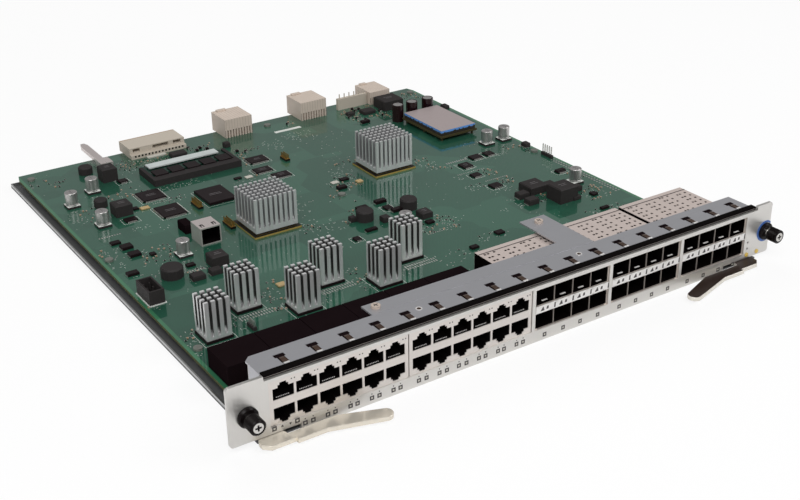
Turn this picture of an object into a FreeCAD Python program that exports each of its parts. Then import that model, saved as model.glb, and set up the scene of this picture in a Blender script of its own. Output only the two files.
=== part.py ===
"""Switch line card: a board on a shallow tray behind a long front panel with 48 ports.

Frame: +X to the right along the panel, +Y to the rear, +Z up.
Origin: the centre of the tray's underside. Lengths in millimetres.
"""

import FreeCAD, Part
import os
from types import SimpleNamespace

import Sketcher
from FreeCAD import Placement, Rotation, Vector

os.makedirs("parts", exist_ok=True)
document = FreeCAD.newDocument("SwitchLineCard")

# ------------------------------------------------------------------ driving sizes
SIZES = {
    # height of the card, from the tray's underside up
    "tray_sheet": 1.0,
    "tray_wall_height": 3.2,
    "standoff_height": 5.0,
    "board_thickness": 2.0,
    # front panel
    "panel_height": 40.7,
    "panel_thickness": 2.0,
    "panel_corner": 2.0,
    "panel_left_margin": 24.0,
    "panel_right_margin": 23.6,
    "panel_strip": 2.5,
    "window_clearance": 0.3,
    "lever_relief_length": 42.0,
    "lever_relief_height": 4.3,
    # tray and board
    "tray_inset_left": 16.5,
    "tray_inset_right": 9.0,
    "board_side_gap": 4.5,
    "board_front_gap": 2.0,
    "board_rear_gap": 1.0,
    "board_length": 413.0,
    "board_lead_width": 2.0,
    "board_lead_length": 8.0,
    "tray_wall_start": 26.0,
    # stacked network jacks
    "port_columns": 6,
    "port_pitch": 14.0,
    "port_width": 12.6,
    "port_height": 7.0,
    "port_depth": 14.0,
    "port_bar": 4.9,
    "latch_width": 6.4,
    "latch_height": 1.6,
    "key_width": 4.0,
    "key_height": 1.3,
    "jack_side_wall": 2.3,
    "jack_bottom_wall": 1.0,
    "jack_top_wall": 2.2,
    "jack_length": 23.0,
    "jack_gap": 0.6,
    "jack_recess": 0.6,
    "shield_sheet": 0.5,
    # stacked optical cages
    "cage_count": 3,
    "cage_columns": 4,
    "cage_pitch": 14.25,
    "cage_sheet": 0.4,
    "cage_cell_height": 10.6,
    "cage_band": 5.0,
    "cage_length": 60.7,
    "cage_recess": 0.8,
    "strip_sheet": 0.6,
    "strip_window": 1.2,
    # top bracket with spring fingers
    "bracket_sheet": 1.0,
    "bracket_height": 38.2,
    "bracket_front_gap": 4.5,
    "bracket_left_inset": 1.8,
    "bracket_right_inset": 0.3,
    "bracket_narrow": 19.8,
    "bracket_wide": 32.0,
    "bracket_step_lap": 7.0,
    "bracket_arm_lap": 10.3,
    "bracket_arm_width": 20.5,
    "bracket_chamfer": 3.5,
    "bracket_leg_start": 1.5,
    "bracket_leg_length": 12.0,
    "crease_width": 0.5,
    "crease_depth": 0.25,
    "finger_count": 18,
    "finger_first": 17.6,
    "finger_last": 8.8,
    "finger_root": 3.8,
    "finger_slot_width": 4.4,
    "finger_slot_length": 6.0,
    "finger_cross_width": 6.2,
    "finger_cross_length": 3.4,
    "finger_width": 3.7,
    "finger_length": 5.4,
    "finger_drop": 1.6,
    "finger_sheet": 0.5,
    "notch_width": 4.6,
    "notch_depth": 1.8,
    "gasket_height": 3.2,
    "gasket_top_gap": 1.0,
    "post_radius": 2.6,
    "post_thread_depth": 6.0,
    "post_tip_gap": 1.0,
    "post_step_inset": 6.5,
    "post_rear_inset": 5.5,
    "post_arm_inset": 7.5,
    "post_cage_gap": 4.4,
    # levers
    "lever_thickness": 2.7,
    "lever_lift": 0.2,
    "lever_pivot_x": 24.0,
    "lever_pivot_y": 8.0,
    "lever_hub_radius": 5.0,
    "lever_panel_gap": 3.0,
    "lever_pin_radius": 1.6,
    "lever_pin_fit": 0.05,
    "lever_pin_head": 2.8,
    "lever_pin_head_height": 1.0,
    "lever_edge": 0.4,
    # captive thumbscrews
    "screw_left_x": 11.0,
    "screw_right_x": 4.6,
    "screw_height": 20.4,
    "screw_thread_radius": 1.75,
    "screw_thread_length": 9.0,
    "screw_fit": 0.25,
    "knob_radius": 4.7,
    "knob_length": 8.0,
    "knob_front": 12.6,
    "knob_hollow_radius": 3.7,
    "knob_hollow_depth": 5.2,
    "knob_edge": 0.6,
    "screw_face_radius": 3.0,
    "ferrule_radius": 6.0,
    "ferrule_length": 2.4,
    "ferrule_lip": 0.8,
    "spring_radius": 3.0,
    "spring_wire": 0.6,
    "spring_length": 4.4,
    "spring_turns": 4,
    "spring_seat": 0.05,
    "ring_radius": 3.4,
    "ring_sheet": 0.6,
    "ring_groove": 0.4,
    "ring_gap": 0.1,
    "ring_fit": 0.05,
    "cross_arm": 1.86,
    "cross_slot": 0.54,
    "cross_depth": 1.0,
    "screw_tip": 0.8,
    "blue_ring_radius": 7.5,
    "blue_ring_sheet": 0.3,
    "light_radius": 1.5,
    "light_height": 6.8,
    "light_first": 20.2,
    "light_pitch": 9.7,
    "light_proud": 0.4,
    "reset_radius": 0.8,
    "reset_pitch": 4.5,
    "reset_count": 2,
    # small pin-fin heat sinks and their chips
    "small_sink_width": 16.2,
    "small_sink_base": 2.0,
    "small_sink_top": 35.4,
    "small_pin_count": 4,
    "small_pin_long": 2.6,
    "small_pin_short": 1.9,
    "small_chip_width": 17.5,
    "small_chip_height": 1.8,
    # big pin-fin heat sinks and their packages
    "big_sink_width": 33.0,
    "big_sink_depth": 31.0,
    "big_sink_base": 3.4,
    "big_sink_top": 36.2,
    "big_pin_columns": 9,
    "big_pin_rows": 7,
    "big_pin_long": 2.3,
    "big_pin_short": 1.5,
    "package_margin": 2.0,
    "package_height": 1.2,
    "package_lid_margin": 1.0,
    "package_lid_height": 1.6,
    # board-mounted parts
    "magnetics_count": 6,
    "magnetics_inset": 2.7,
    "magnetics_gap": 0.5,
    "magnetics_depth": 26.0,
    "magnetics_height": 12.8,
    "magnetics_front": 44.8,
    "can_radius": 4.7,
    "can_height": 12.0,
    "can_base_width": 10.0,
    "can_base_height": 1.6,
    "sleeve_radius": 5.0,
    "sleeve_height": 15.0,
    "brick_width": 36.8,
    "brick_length": 57.9,
    "brick_board_height": 3.0,
    "brick_board_sheet": 1.6,
    "brick_cover_height": 4.4,
    "brick_rim": 1.2,
    "brick_foot_radius": 1.0,
    "brick_foot_inset": 3.0,
    "sleeve_brick_gap": 1.5,
    "module_width": 67.6,
    "module_length": 30.0,
    "module_sheet": 1.0,
    "module_height": 3.0,
    "module_fit": 0.3,
    "module_lift": 0.075,
    "module_chip_count": 4,
    "module_chip_first": 4.0,
    "module_chip_gap": 3.5,
    "module_chip_width": 12.0,
    "module_chip_depth": 9.0,
    "module_chip_height": 1.0,
    "socket_depth": 8.0,
    "socket_height": 5.2,
    "socket_arm": 3.0,
    "socket_arm_short": 2.0,
    "connector_width": 25.0,
    "connector_length": 26.0,
    "connector_height": 16.0,
    "connector_overhang": 6.5,
    "connector_slots": 9,
    "connector_margin": 1.0,
    "connector_slot_share": 0.45,
    "connector_slot_height": 6.7,
    "connector_slot_depth": 3.0,
    "connector_key_inset": 4.0,
    "connector_key_height": 1.0,
    "small_connector_less": 4.5,
    "power_connector_width": 48.0,
    "power_connector_length": 22.0,
    "power_connector_height": 8.2,
    "power_window_low": 4.5,
    "power_window_wall": 0.8,
    "power_window_depth": 5.0,
    "power_ledge_depth": 4.0,
    "power_ledge_height": 3.3,
    "guide_width": 6.0,
    "guide_sheet": 3.0,
    "guide_length": 56.0,
    "guide_overhang": 24.0,
    "guide_height": 3.0,
    "guide_lead": 5.0,
    "guide_wall": 2.0,
    "guide_block_length": 12.0,
    "header_gap": 1.0,
    "header_rear_gap": 11.8,
    "header_width": 30.0,
    "header_depth": 3.2,
    "header_height": 10.2,
    "header_pins": 6,
    "header_pin": 0.7,
    "header_pin_rise": 4.0,
    "strip_pitch": 2.0,
    "strip_base": 1.8,
    "strip_pin": 0.6,
    "strip_rise": 3.6,
    "stack_jack_width": 14.4,
    "stack_jack_depth": 15.6,
    "stack_jack_height": 24.5,
    "stack_jack_wall": 1.0,
    "stack_jack_bar": 2.6,
    "stack_jack_back": 1.0,
    "stack_jack_gap": 0.5,
    "box_header_width": 10.4,
    "box_header_length": 21.0,
    "box_header_height": 10.0,
    "box_header_wall": 1.2,
    "box_header_floor": 2.0,
    "box_header_post": 1.0,
    "box_header_post_height": 6.0,
    "board_screw_radius": 1.4,
    "board_screw_head": 2.8,
    "board_screw_head_height": 1.6,
    "board_screw_fit": 0.15,
    "board_screw_tip_gap": 0.5,
    "standoff_radius": 3.2,
    "standoff_floor": 1.0,
    "block_chamfer": 0.8,
    "chip_chamfer": 0.3,
}

# Where the board's parts stand: (x, y) from the left and front edges of a board of the layout's size; a
# negative number is measured from the right or rear edge instead. The places spread with the board.
LAYOUT_WIDTH = 370.2
LAYOUT_LENGTH = 413.0
BOARD_SCREWS = ((6, 92), (6, 232), (8, -13), (-6, 92), (-6, 221), (-7, -13), (215, -13), (191, 236))
SMALL_SINKS = ((21, 101.5), (52, 124), (82, 101), (112, 124), (142, 101.3), (173.5, 123.5))
BIG_SINKS = ((120.5, 222), (248, 266))
CANS = ((17, -80), (39, -63), (23.5, -125), (51, 211), (-27, -156), (-9.5, -156), (198.5, 161), (-21, 154))
SLEEVED_CAPS = (-18.7, -4.2, 12.3)  # x from the converter's middle
PLAIN_INDUCTORS = (  # x, y, width, depth, height
    (42.5, -113, 13, 12, 9),
    (58, -46, 12, 12, 11),
    (-57, 160, 16, 15, 6.5),
    (-49, 136, 16.5, 16, 11.5),
    (-43.5, -32.5, 20, 18, 9),
    (220, 169, 9, 9, 5),
)
JACK_INDUCTOR = (12, 11, 8)  # width, depth, height
ROUND_INDUCTORS = (  # x, y, radius, height
    (32, 187, 7.6, 7.5),
    (34.5, -92, 5, 6),
    (182, 189, 6.5, 8),
    (219, 188, 6.5, 8),
    (48, -24, 5.5, 6),
)
LOGIC_CHIPS = (  # x, y, width, depth, height
    (72, -96, 18, 18, 1.6),
    (73, -130, 18, 20, 1.6),
    (112, -124, 22, 28, 2.4),
    (171, -78, 16, 12, 1.6),
    (164.5, -100, 14, 9, 1.6),
    (172, -117, 14, 9, 1.6),
    (65.5, -57, 7, 6, 1.6),
    (43, -128, 9, 6, 1.6),
    (206, 196, 6, 6, 1.6),
    (-53, -175, 10, 7, 1.6),
    (-40, -175, 8, 7, 1.6),
    (-70, -185, 9, 9, 1.6),
    (-75, 208, 8, 6, 1.6),
    (-75, 183, 9, 7, 1.6),
    (-16.5, 176.5, 8, 5, 1.6),
    (-3.4, 235, 4, 5, 1.6),
    (160, 164, 5, 5, 1.6),
)
BACKPLANE = {"backplane_connector_a": 172.5, "backplane_connector_b": 245.3, "backplane_connector_c": 316.0}
MODULE_PLACE = (85, -48)
BRICK_PLACE = (-37.3, -102.5)
SMALL_CONNECTOR = "backplane_connector_c"
POWER_CONNECTOR_X = 88.5
GUIDE_X = 63.5
STACK_JACK_PLACE = (64.4, 192.4)  # the middle of its front
BOX_HEADER_PLACE = (3.2, 156)
BOX_HEADER_POSTS = tuple((x, y) for x in (1.4, 5.4) for y in (2.5, 8.5, 14.5))
POWER_WINDOWS = ((3.0, 9.0), (20.0, 34.0), (38.0, 45.0))  # from and to, along the power connector
PIN_STRIPS = ((93.3, -132.3, 7), (97.5, 236, 7), (190.7, -89.2, 5))  # x, y, pins in each of two rows
LEVER_CLAW = ((15.5, -2.0), (15.5, -5.5), (19.5, -9.2), (34.0, -9.2), (34.0, -11.2), (52.0, -11.2))
LEVER_TIP = ((84.6, -20.8), (89.4, -17.4), (87.6, -12.6))
LEVER_INNER = (62.0, 32.0)


class Size(float):
    """A length that remembers the sheet formula it stands for."""

    def __new__(cls, value, formula):
        size = super().__new__(cls, value)
        size.formula = formula
        return size

    def __add__(self, other):
        return Size(float(self) + float(other), f"({self.formula} + {formula_of(other)})")

    def __radd__(self, other):
        return Size(float(other) + float(self), f"({formula_of(other)} + {self.formula})")

    def __sub__(self, other):
        return Size(float(self) - float(other), f"({self.formula} - {formula_of(other)})")

    def __rsub__(self, other):
        return Size(float(other) - float(self), f"({formula_of(other)} - {self.formula})")

    def __mul__(self, other):
        return Size(float(self) * float(other), f"({self.formula} * {formula_of(other)})")

    __rmul__ = __mul__

    def __truediv__(self, other):
        return Size(float(self) / float(other), f"({self.formula} / {formula_of(other)})")

    def __neg__(self):
        return Size(-float(self), f"(0 - {self.formula})")


def formula_of(value):
    """The sheet formula of a size, or a plain number as text."""
    return value.formula if isinstance(value, Size) else f"({float(value):.9g})"


def fill_sheet(values):
    """Write the driving sizes into a spreadsheet and give them back as named sizes."""
    sheet = document.addObject("Spreadsheet::Sheet", "Sizes")
    named = {}
    for row, (name, value) in enumerate(values.items(), start=1):
        sheet.set(f"A{row}", name)
        sheet.set(f"B{row}", str(value))
        sheet.setAlias(f"B{row}", name)
        named[name] = Size(value, f"Sizes.{name}")
    document.recompute()
    return SimpleNamespace(**named)


S = fill_sheet(SIZES)

# ------------------------------------------------------------------ derived places
jack_width = (S.port_columns - 1) * S.port_pitch + S.port_width + 2 * S.jack_side_wall
jack_window = 2 * jack_width + S.jack_gap + 2 * S.window_clearance
cage_width = S.cage_columns * S.cage_pitch + S.cage_sheet
cage_window = cage_width + 2 * S.window_clearance
cage_step = cage_window + S.panel_strip
panel_width = S.panel_left_margin + jack_window + S.cage_count * cage_step + S.panel_right_margin

tray_width = panel_width - S.tray_inset_left - S.tray_inset_right
tray_length = S.board_front_gap + S.board_length + S.board_rear_gap
tray_left = -tray_width / 2
tray_right = tray_width / 2
tray_front = -tray_length / 2
tray_rear = tray_length / 2
panel_left = tray_left - S.tray_inset_left
panel_right = panel_left + panel_width
panel_front = tray_front - S.panel_thickness

board_left = tray_left + S.board_side_gap
board_right = tray_right - S.board_side_gap
board_width = board_right - board_left
board_front = tray_front + S.board_front_gap
board_rear = board_front + S.board_length
board_underside = S.tray_sheet + S.standoff_height
board_top = board_underside + S.board_thickness

jack_left = panel_left + S.panel_left_margin + S.window_clearance
jack_front = panel_front + S.jack_recess
jack_height = S.jack_bottom_wall + 2 * (S.port_height + S.latch_height + S.key_height) + S.port_bar + S.jack_top_wall
port_first = jack_left + S.jack_side_wall
port_middle = board_top + S.jack_bottom_wall + S.key_height + S.latch_height + S.port_height + S.port_bar / 2

cage_left = panel_left + S.panel_left_margin + jack_window + S.panel_strip + S.window_clearance
cage_front = panel_front + S.cage_recess
cage_height = 2 * S.cage_cell_height + S.cage_band + 2 * S.cage_sheet
cage_cell_width = S.cage_pitch - S.cage_sheet
band_low = board_top + S.cage_sheet + S.cage_cell_height

bracket_top = S.bracket_height
bracket_under = S.bracket_height - S.bracket_sheet
bracket_front = tray_front + S.bracket_front_gap
bracket_left = board_left + S.bracket_left_inset
bracket_right = board_right - S.bracket_right_inset
bracket_step_x = jack_left + jack_width - S.bracket_step_lap
bracket_arm_x = cage_left + cage_width - S.bracket_arm_lap
cage_post_y = cage_front + S.cage_length + S.post_cage_gap + S.post_radius
finger_pitch = (bracket_right - bracket_left - S.finger_first - S.finger_last) / (S.finger_count - 1)

lever_low = S.tray_sheet + S.lever_lift

# ------------------------------------------------------------------ building helpers
nodes = []


def node(item, name):
    """Name an object as one of the assembly's sub-parts."""
    item.Label = name
    nodes.append((name, item))
    return item


def bind(item, path, value):
    """Tie one property of an object to the sheet, where the value comes from it."""
    if isinstance(value, Size):
        item.setExpression(path, value.formula)


def put(item, corner, turn=None):
    """Place an object by its corner or centre, tied to the sheet."""
    item.Placement = Placement(Vector(*corner), turn or Rotation())
    for axis, value in zip("xyz", corner):
        bind(item, f"Placement.Base.{axis}", value)
    return item


def sized(kind, values):
    """Add a Part primitive and tie its sizes to the sheet."""
    item = document.addObject(f"Part::{kind}", kind)
    for name, value in values.items():
        setattr(item, name, float(value))
        bind(item, name, value)
    return item


def box(corner, length, width, height):
    """A box by its lowest corner and its three sizes."""
    return put(sized("Box", {"Length": length, "Width": width, "Height": height}), corner)


TURNS = {"z": Rotation(), "y": Rotation(Vector(1, 0, 0), -90), "x": Rotation(Vector(0, 1, 0), 90)}


def rod(start, radius, length, axis="z"):
    """A round bar from its start point along +x, +y or +z."""
    return put(sized("Cylinder", {"Radius": radius, "Height": length}), start, TURNS[axis])


def together(members, name="Group"):
    """Several separate solids as one object."""
    group = document.addObject("Part::Compound", name)
    group.Links = members
    return group


def fused(members):
    """One solid made of overlapping or touching ones."""
    whole = document.addObject("Part::MultiFuse", "Fused")
    whole.Shapes = members
    whole.Refine = True
    return whole


def cut(base, tools):
    """A solid less all the tools."""
    result = document.addObject("Part::Cut", "Cut")
    result.Base = base
    result.Tool = tools[0] if len(tools) == 1 else together(tools)
    return result


def spread(name, master, places):
    """One sub-part of equal separate solids: the master's shape copied to each place."""
    document.recompute()
    item = document.addObject("Part::Feature", name)
    item.Shape = Part.makeCompound([master.Shape.translated(Vector(*place)) for place in places])
    return node(item, name)


def rectangle(x0, y0, x1, y1):
    """The four corners of a rectangle."""
    return [(x0, y0), (x1, y0), (x1, y1), (x0, y1)]


def spot(x, y):
    """A place on the board for a place on the layout, negative from the layout's right or rear edge."""
    across = x if x >= 0 else LAYOUT_WIDTH + x
    along = y if y >= 0 else LAYOUT_LENGTH + y
    return board_left + across * (board_width / LAYOUT_WIDTH), board_front + along * (S.board_length / LAYOUT_LENGTH)


class Piece:
    """A PartDesign body, built feature by feature from sketches on its own origin planes."""

    def __init__(self, name):
        self.body = document.addObject("PartDesign::Body", name)

    def origin(self, role):
        """The body's own plane or axis with this role."""
        return next(item for item in self.body.Origin.OriginFeatures if item.Role == role)

    def sketch(self, plane, outlines, offset=0.0, arcs=None):
        """A sketch on an origin plane; outlines are lists of corners, arcs give a side its middle point."""
        sketch = self.body.newObject("Sketcher::SketchObject", "Outline")
        sketch.AttachmentSupport = [(self.origin(plane), "")]
        sketch.MapMode = "FlatFace"
        sketch.AttachmentOffset = Placement(Vector(0, 0, float(offset)), Rotation())
        bind(sketch, "AttachmentOffset.Base.z", offset)
        for outline in outlines:
            self.draw(sketch, outline, arcs or {})
        return sketch

    def draw(self, sketch, corners, arcs):
        """Draw one closed outline and tie each corner to the sheet."""
        points = [Vector(float(x), float(y), 0) for x, y in corners]
        count = len(points)
        first = sketch.GeometryCount
        for side, start in enumerate(points):
            end = points[(side + 1) % count]
            if side in arcs:
                middle = Vector(*[float(part) for part in arcs[side]], 0)
                sketch.addGeometry(Part.Arc(start, middle, end), False)
            else:
                sketch.addGeometry(Part.LineSegment(start, end), False)

        def tip_at(side, point):
            near = sketch.getPoint(first + side, 1).distanceToPoint(point) < 1e-6
            return 1 if near else 2

        for side, (x, y) in enumerate(corners):
            before = (side - 1) % count
            here = tip_at(side, points[side])
            back = tip_at(before, points[side])
            sketch.addConstraint(Sketcher.Constraint("Coincident", first + before, back, first + side, here))
            for kind, value in (("DistanceX", x), ("DistanceY", y)):
                index = sketch.addConstraint(
                    Sketcher.Constraint(kind, -1, 1, first + side, here, float(value)))
                bind(sketch, f"Constraints[{index}]", value)

    def pad(self, sketch, length, backwards=False):
        """Add material from a sketch."""
        feature = self.body.newObject("PartDesign::Pad", "Pad")
        feature.Profile = sketch
        feature.Length = float(length)
        bind(feature, "Length", length)
        feature.Reversed = backwards
        return self.done(feature)

    def pocket(self, sketch, depth=None, backwards=False):
        """Take material away to a depth, or right through."""
        feature = self.body.newObject("PartDesign::Pocket", "Pocket")
        feature.Profile = sketch
        feature.Reversed = backwards
        if depth is None:
            feature.Type = "ThroughAll"
            feature.SideType = "Symmetric"
        else:
            feature.Length = float(depth)
            bind(feature, "Length", depth)
        return self.done(feature)

    def row(self, feature, axis, step, count, axis2=None, step2=None, count2=None):
        """Repeat a feature along one or two of the body's axes."""
        pattern = self.body.newObject("PartDesign::LinearPattern", "Row")
        pattern.Originals = [feature]
        pattern.Direction = (self.origin(axis), [""])
        pattern.Length = float(step * (count - 1))
        bind(pattern, "Length", step * (count - 1))
        pattern.Occurrences = int(count)
        bind(pattern, "Occurrences", count)
        if axis2:
            pattern.Direction2 = (self.origin(axis2), [""])
            pattern.Length2 = float(step2 * (count2 - 1))
            bind(pattern, "Length2", step2 * (count2 - 1))
            pattern.Occurrences2 = int(count2)
            bind(pattern, "Occurrences2", count2)
        return self.done(pattern)

    def turned(self, outline, axis):
        """A solid of revolution about one of the body's axes, drawn on the XY plane."""
        feature = self.body.newObject("PartDesign::Revolution", "Turned")
        feature.Profile = self.sketch("XY_Plane", [outline])
        feature.ReferenceAxis = (self.origin(axis), [""])
        feature.Angle = 360.0
        return self.done(feature)

    def dressed(self, kind, feature, value, wanted):
        """A fillet or chamfer on the edges of a feature that are wanted."""
        document.recompute()
        edges = [f"Edge{i}" for i, edge in enumerate(feature.Shape.Edges, start=1) if wanted(edge)]
        finish = self.body.newObject(f"PartDesign::{kind}", kind)
        finish.Base = (feature, edges)
        name = "Radius" if kind == "Fillet" else "Size"
        setattr(finish, name, float(value))
        bind(finish, name, value)
        return self.done(finish)

    def done(self, feature):
        """Make a feature the body's newest one."""
        self.body.Tip = feature
        return feature


def runs_along(edge, axis):
    """Whether a straight edge is parallel to an axis."""
    if len(edge.Vertexes) != 2:
        return False
    step = edge.Vertexes[1].Point - edge.Vertexes[0].Point
    return step.Length > 1e-6 and abs(abs(step.dot(axis)) - step.Length) < 1e-6


# ------------------------------------------------------------------ tray, board and panel
def make_tray():
    """Folded pan: floor, two side walls that stop short of the levers, and a rear lip."""
    tray = Piece("tray")
    pan = tray.sketch("XY_Plane", [rectangle(tray_left, tray_front, tray_right, tray_rear)])
    tray.pad(pan, S.tray_wall_height)
    wall_from = tray_front + S.tray_wall_start
    inner_left = tray_left + S.tray_sheet
    inner_right = tray_right - S.tray_sheet
    inside = [
        (tray_left, tray_front), (tray_right, tray_front), (tray_right, wall_from),
        (inner_right, wall_from), (inner_right, tray_rear - S.tray_sheet),
        (inner_left, tray_rear - S.tray_sheet), (inner_left, wall_from), (tray_left, wall_from),
    ]
    tray.pocket(tray.sketch("XY_Plane", [inside], S.tray_wall_height), S.tray_wall_height - S.tray_sheet)
    pins = [circle_tool(x, S.lever_pin_radius) for x in lever_pivots()]
    node(cut(tray.body, pins), "tray")


def circle_tool(x, radius):
    """A bar through the tray floor at a lever's pivot."""
    return rod((x, lever_pivot_y, -S.tray_sheet), radius, 3 * S.tray_sheet)


lever_pivot_y = panel_front + S.lever_pivot_y


def lever_pivots():
    """The x places of the left and right pivots."""
    return panel_left + S.lever_pivot_x, panel_right - S.lever_pivot_x


def make_board():
    """The main circuit board, with lead-in corners at the rear and holes for its screws."""
    board = Piece("main_board")
    lead = S.board_lead_width
    outline = [
        (board_left, board_front), (board_right, board_front),
        (board_right, board_rear - S.board_lead_length), (board_right - lead, board_rear),
        (board_left + lead, board_rear), (board_left, board_rear - S.board_lead_length),
    ]
    board.pad(board.sketch("XY_Plane", [outline], board_underside), S.board_thickness)
    hole = S.board_screw_radius + S.board_screw_fit
    holes = [rod((*spot(x, y), board_underside - 1), hole, S.board_thickness + 2) for x, y in BOARD_SCREWS]
    node(cut(board.body, holes), "main_board")


def make_standoffs():
    """Hexagonal threaded standoffs between the tray and the board, and the screws that hold it down."""
    blind = S.standoff_height - S.standoff_floor
    pillar = put(sized("Prism", {"Circumradius": S.standoff_radius, "Height": S.standoff_height}),
                 (0, 0, S.tray_sheet))
    bore = rod((0, 0, board_underside - blind), S.board_screw_radius, blind + 1)
    places = [(*spot(x, y), 0) for x, y in BOARD_SCREWS]
    spread("board_standoffs", cut(pillar, [bore]), places)
    head = rod((0, 0, board_top), S.board_screw_head, S.board_screw_head_height)
    tip = board_underside - blind + S.board_screw_tip_gap
    shank = rod((0, 0, tip), S.board_screw_radius, board_top - tip)
    spread("board_screws", fused([head, shank]), places)


def make_panel():
    """The front panel, raised at both ends for the levers, with its windows and holes."""
    panel = Piece("front_panel")
    low = S.lever_relief_height
    left_in = panel_left + S.lever_relief_length
    right_in = panel_right - S.lever_relief_length
    outline = [
        (panel_left, low), (left_in, low), (left_in, 0.0), (right_in, 0.0),
        (right_in, low), (panel_right, low), (panel_right, S.panel_height), (panel_left, S.panel_height),
    ]
    plate = panel.pad(panel.sketch("XZ_Plane", [outline], -panel_front), S.panel_thickness, backwards=True)
    ends = (float(panel_left), float(panel_right))

    def outer_corner(edge):
        place = edge.Vertexes[0].Point
        return runs_along(edge, Vector(0, 1, 0)) and min(abs(place.x - end) for end in ends) < 1e-6

    panel.dressed("Fillet", plate, S.panel_corner, outer_corner)
    jack_top = board_top + jack_height + S.window_clearance
    panel_window = rectangle(
        jack_left - S.window_clearance, board_top,
        jack_left - S.window_clearance + jack_window, jack_top)
    panel.pocket(panel.sketch("XZ_Plane", [panel_window], -panel_front))
    cage_window_outline = rectangle(
        cage_left - S.window_clearance, board_top,
        cage_left - S.window_clearance + cage_window, board_top + cage_height + S.window_clearance)
    opening = panel.pocket(panel.sketch("XZ_Plane", [cage_window_outline], -panel_front))
    panel.row(opening, "X_Axis", cage_step, S.cage_count)
    behind = panel_front - 1
    through = S.panel_thickness + 2
    tools = [rod((x, behind, S.screw_height), S.screw_thread_radius + 2 * S.screw_fit, through, "y")
             for x in captive_places()]
    tools += [rod((x, behind, S.light_height), S.light_radius, through, "y") for x in light_places()]
    reset_x = panel_right - S.light_first
    tools += [rod((reset_x, behind, S.light_height + i * S.reset_pitch), S.reset_radius, through, "y")
              for i in range(1, int(S.reset_count) + 1)]
    node(cut(panel.body, tools), "front_panel")


def captive_places():
    """The x places of the two captive screws."""
    return panel_left + S.screw_left_x, panel_right - S.screw_right_x


def light_places():
    """The x places of the two status lights."""
    last = panel_right - S.light_first
    return last, last + S.light_pitch


# ------------------------------------------------------------------ network jacks and optical cages
def port_outline(left, bar_edge, direction):
    """One jack mouth: a wide mouth, the latch step and the key step, up or down from the bar."""
    middle = left + S.port_width / 2
    shoulder = bar_edge + direction * S.port_height
    latch = shoulder + direction * S.latch_height
    key = latch + direction * S.key_height
    half_latch = S.latch_width / 2
    half_key = S.key_width / 2
    return [
        (left, bar_edge), (left + S.port_width, bar_edge), (left + S.port_width, shoulder),
        (middle + half_latch, shoulder), (middle + half_latch, latch), (middle + half_key, latch),
        (middle + half_key, key), (middle - half_key, key), (middle - half_key, latch),
        (middle - half_latch, latch), (middle - half_latch, shoulder), (left, shoulder),
    ]


def cut_ports(piece, first, front, depth):
    """Cut both rows of six jack mouths into a block's front."""
    for direction in (1, -1):
        outline = port_outline(first, port_middle + direction * S.port_bar / 2, direction)
        mouth = piece.pocket(piece.sketch("XZ_Plane", [outline], -front), depth)
        piece.row(mouth, "X_Axis", S.port_pitch, S.port_columns)


def make_jack_block(side, left):
    """A stacked jack: the black moulding with its twelve mouths and the plated shield around it."""
    sheet = S.shield_sheet
    right = left + jack_width
    top = board_top + jack_height
    first = left + S.jack_side_wall
    housing = Piece(f"{side}_jack_housing")
    block = rectangle(left + sheet, board_top, right - sheet, top - sheet)
    front = jack_front + sheet
    housing.pad(housing.sketch("XZ_Plane", [block], -front), S.jack_length - sheet, backwards=True)
    cut_ports(housing, first, front, S.port_depth)
    node(housing.body, f"{side}_jack_housing")
    shield = Piece(f"{side}_jack_shield")
    shell = rectangle(left, board_top, right, top)
    shield.pad(shield.sketch("XZ_Plane", [shell], -jack_front), S.jack_length, backwards=True)
    shield.pocket(shield.sketch("XZ_Plane", [block], -front), S.jack_length)
    cut_ports(shield, first, jack_front, sheet)
    node(shield.body, f"{side}_jack_shield")


def make_cage(number, left):
    """A stacked optical cage of folded sheet: eight open cells and the band between the rows."""
    sheet = S.cage_sheet
    cage = Piece(f"optical_cage_{number}")
    shell = rectangle(left, board_top, left + cage_width, board_top + cage_height)
    cage.pad(cage.sketch("XZ_Plane", [shell], -cage_front), S.cage_length, backwards=True)
    first = left + sheet
    low = board_top + sheet
    rows = (
        (low, low + S.cage_cell_height),
        (band_low + sheet, band_low + S.cage_band - sheet),
        (band_low + S.cage_band, band_low + S.cage_band + S.cage_cell_height),
    )
    for bottom, top in rows:
        cell = rectangle(first, bottom, first + cage_cell_width, top)
        mouth = cage.pocket(cage.sketch("XZ_Plane", [cell], -cage_front), S.cage_length - sheet)
        cage.row(mouth, "X_Axis", S.cage_pitch, S.cage_columns)
    node(cage.body, f"optical_cage_{number}")


def make_cage_strip(number, left):
    """The spring strip on a cage's band: a plate with a wave along it and small windows."""
    strip = Piece(f"cage_strip_{number}")
    plate_front = cage_front - S.strip_sheet
    plate = rectangle(left, band_low, left + cage_width, band_low + S.cage_band)
    strip.pad(strip.sketch("XZ_Plane", [plate], -plate_front), S.strip_sheet, backwards=True)
    half = S.strip_window / 2
    middle_x = left + S.cage_sheet + cage_cell_width / 2 - S.cage_pitch / 4
    middle_z = band_low + S.cage_band / 2
    window = rectangle(middle_x - half, middle_z - half, middle_x + half, middle_z + half)
    hole = strip.pocket(strip.sketch("XZ_Plane", [window], -plate_front))
    strip.row(hole, "X_Axis", S.cage_pitch / 2, S.cage_columns * 2)
    return strip.body


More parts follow.
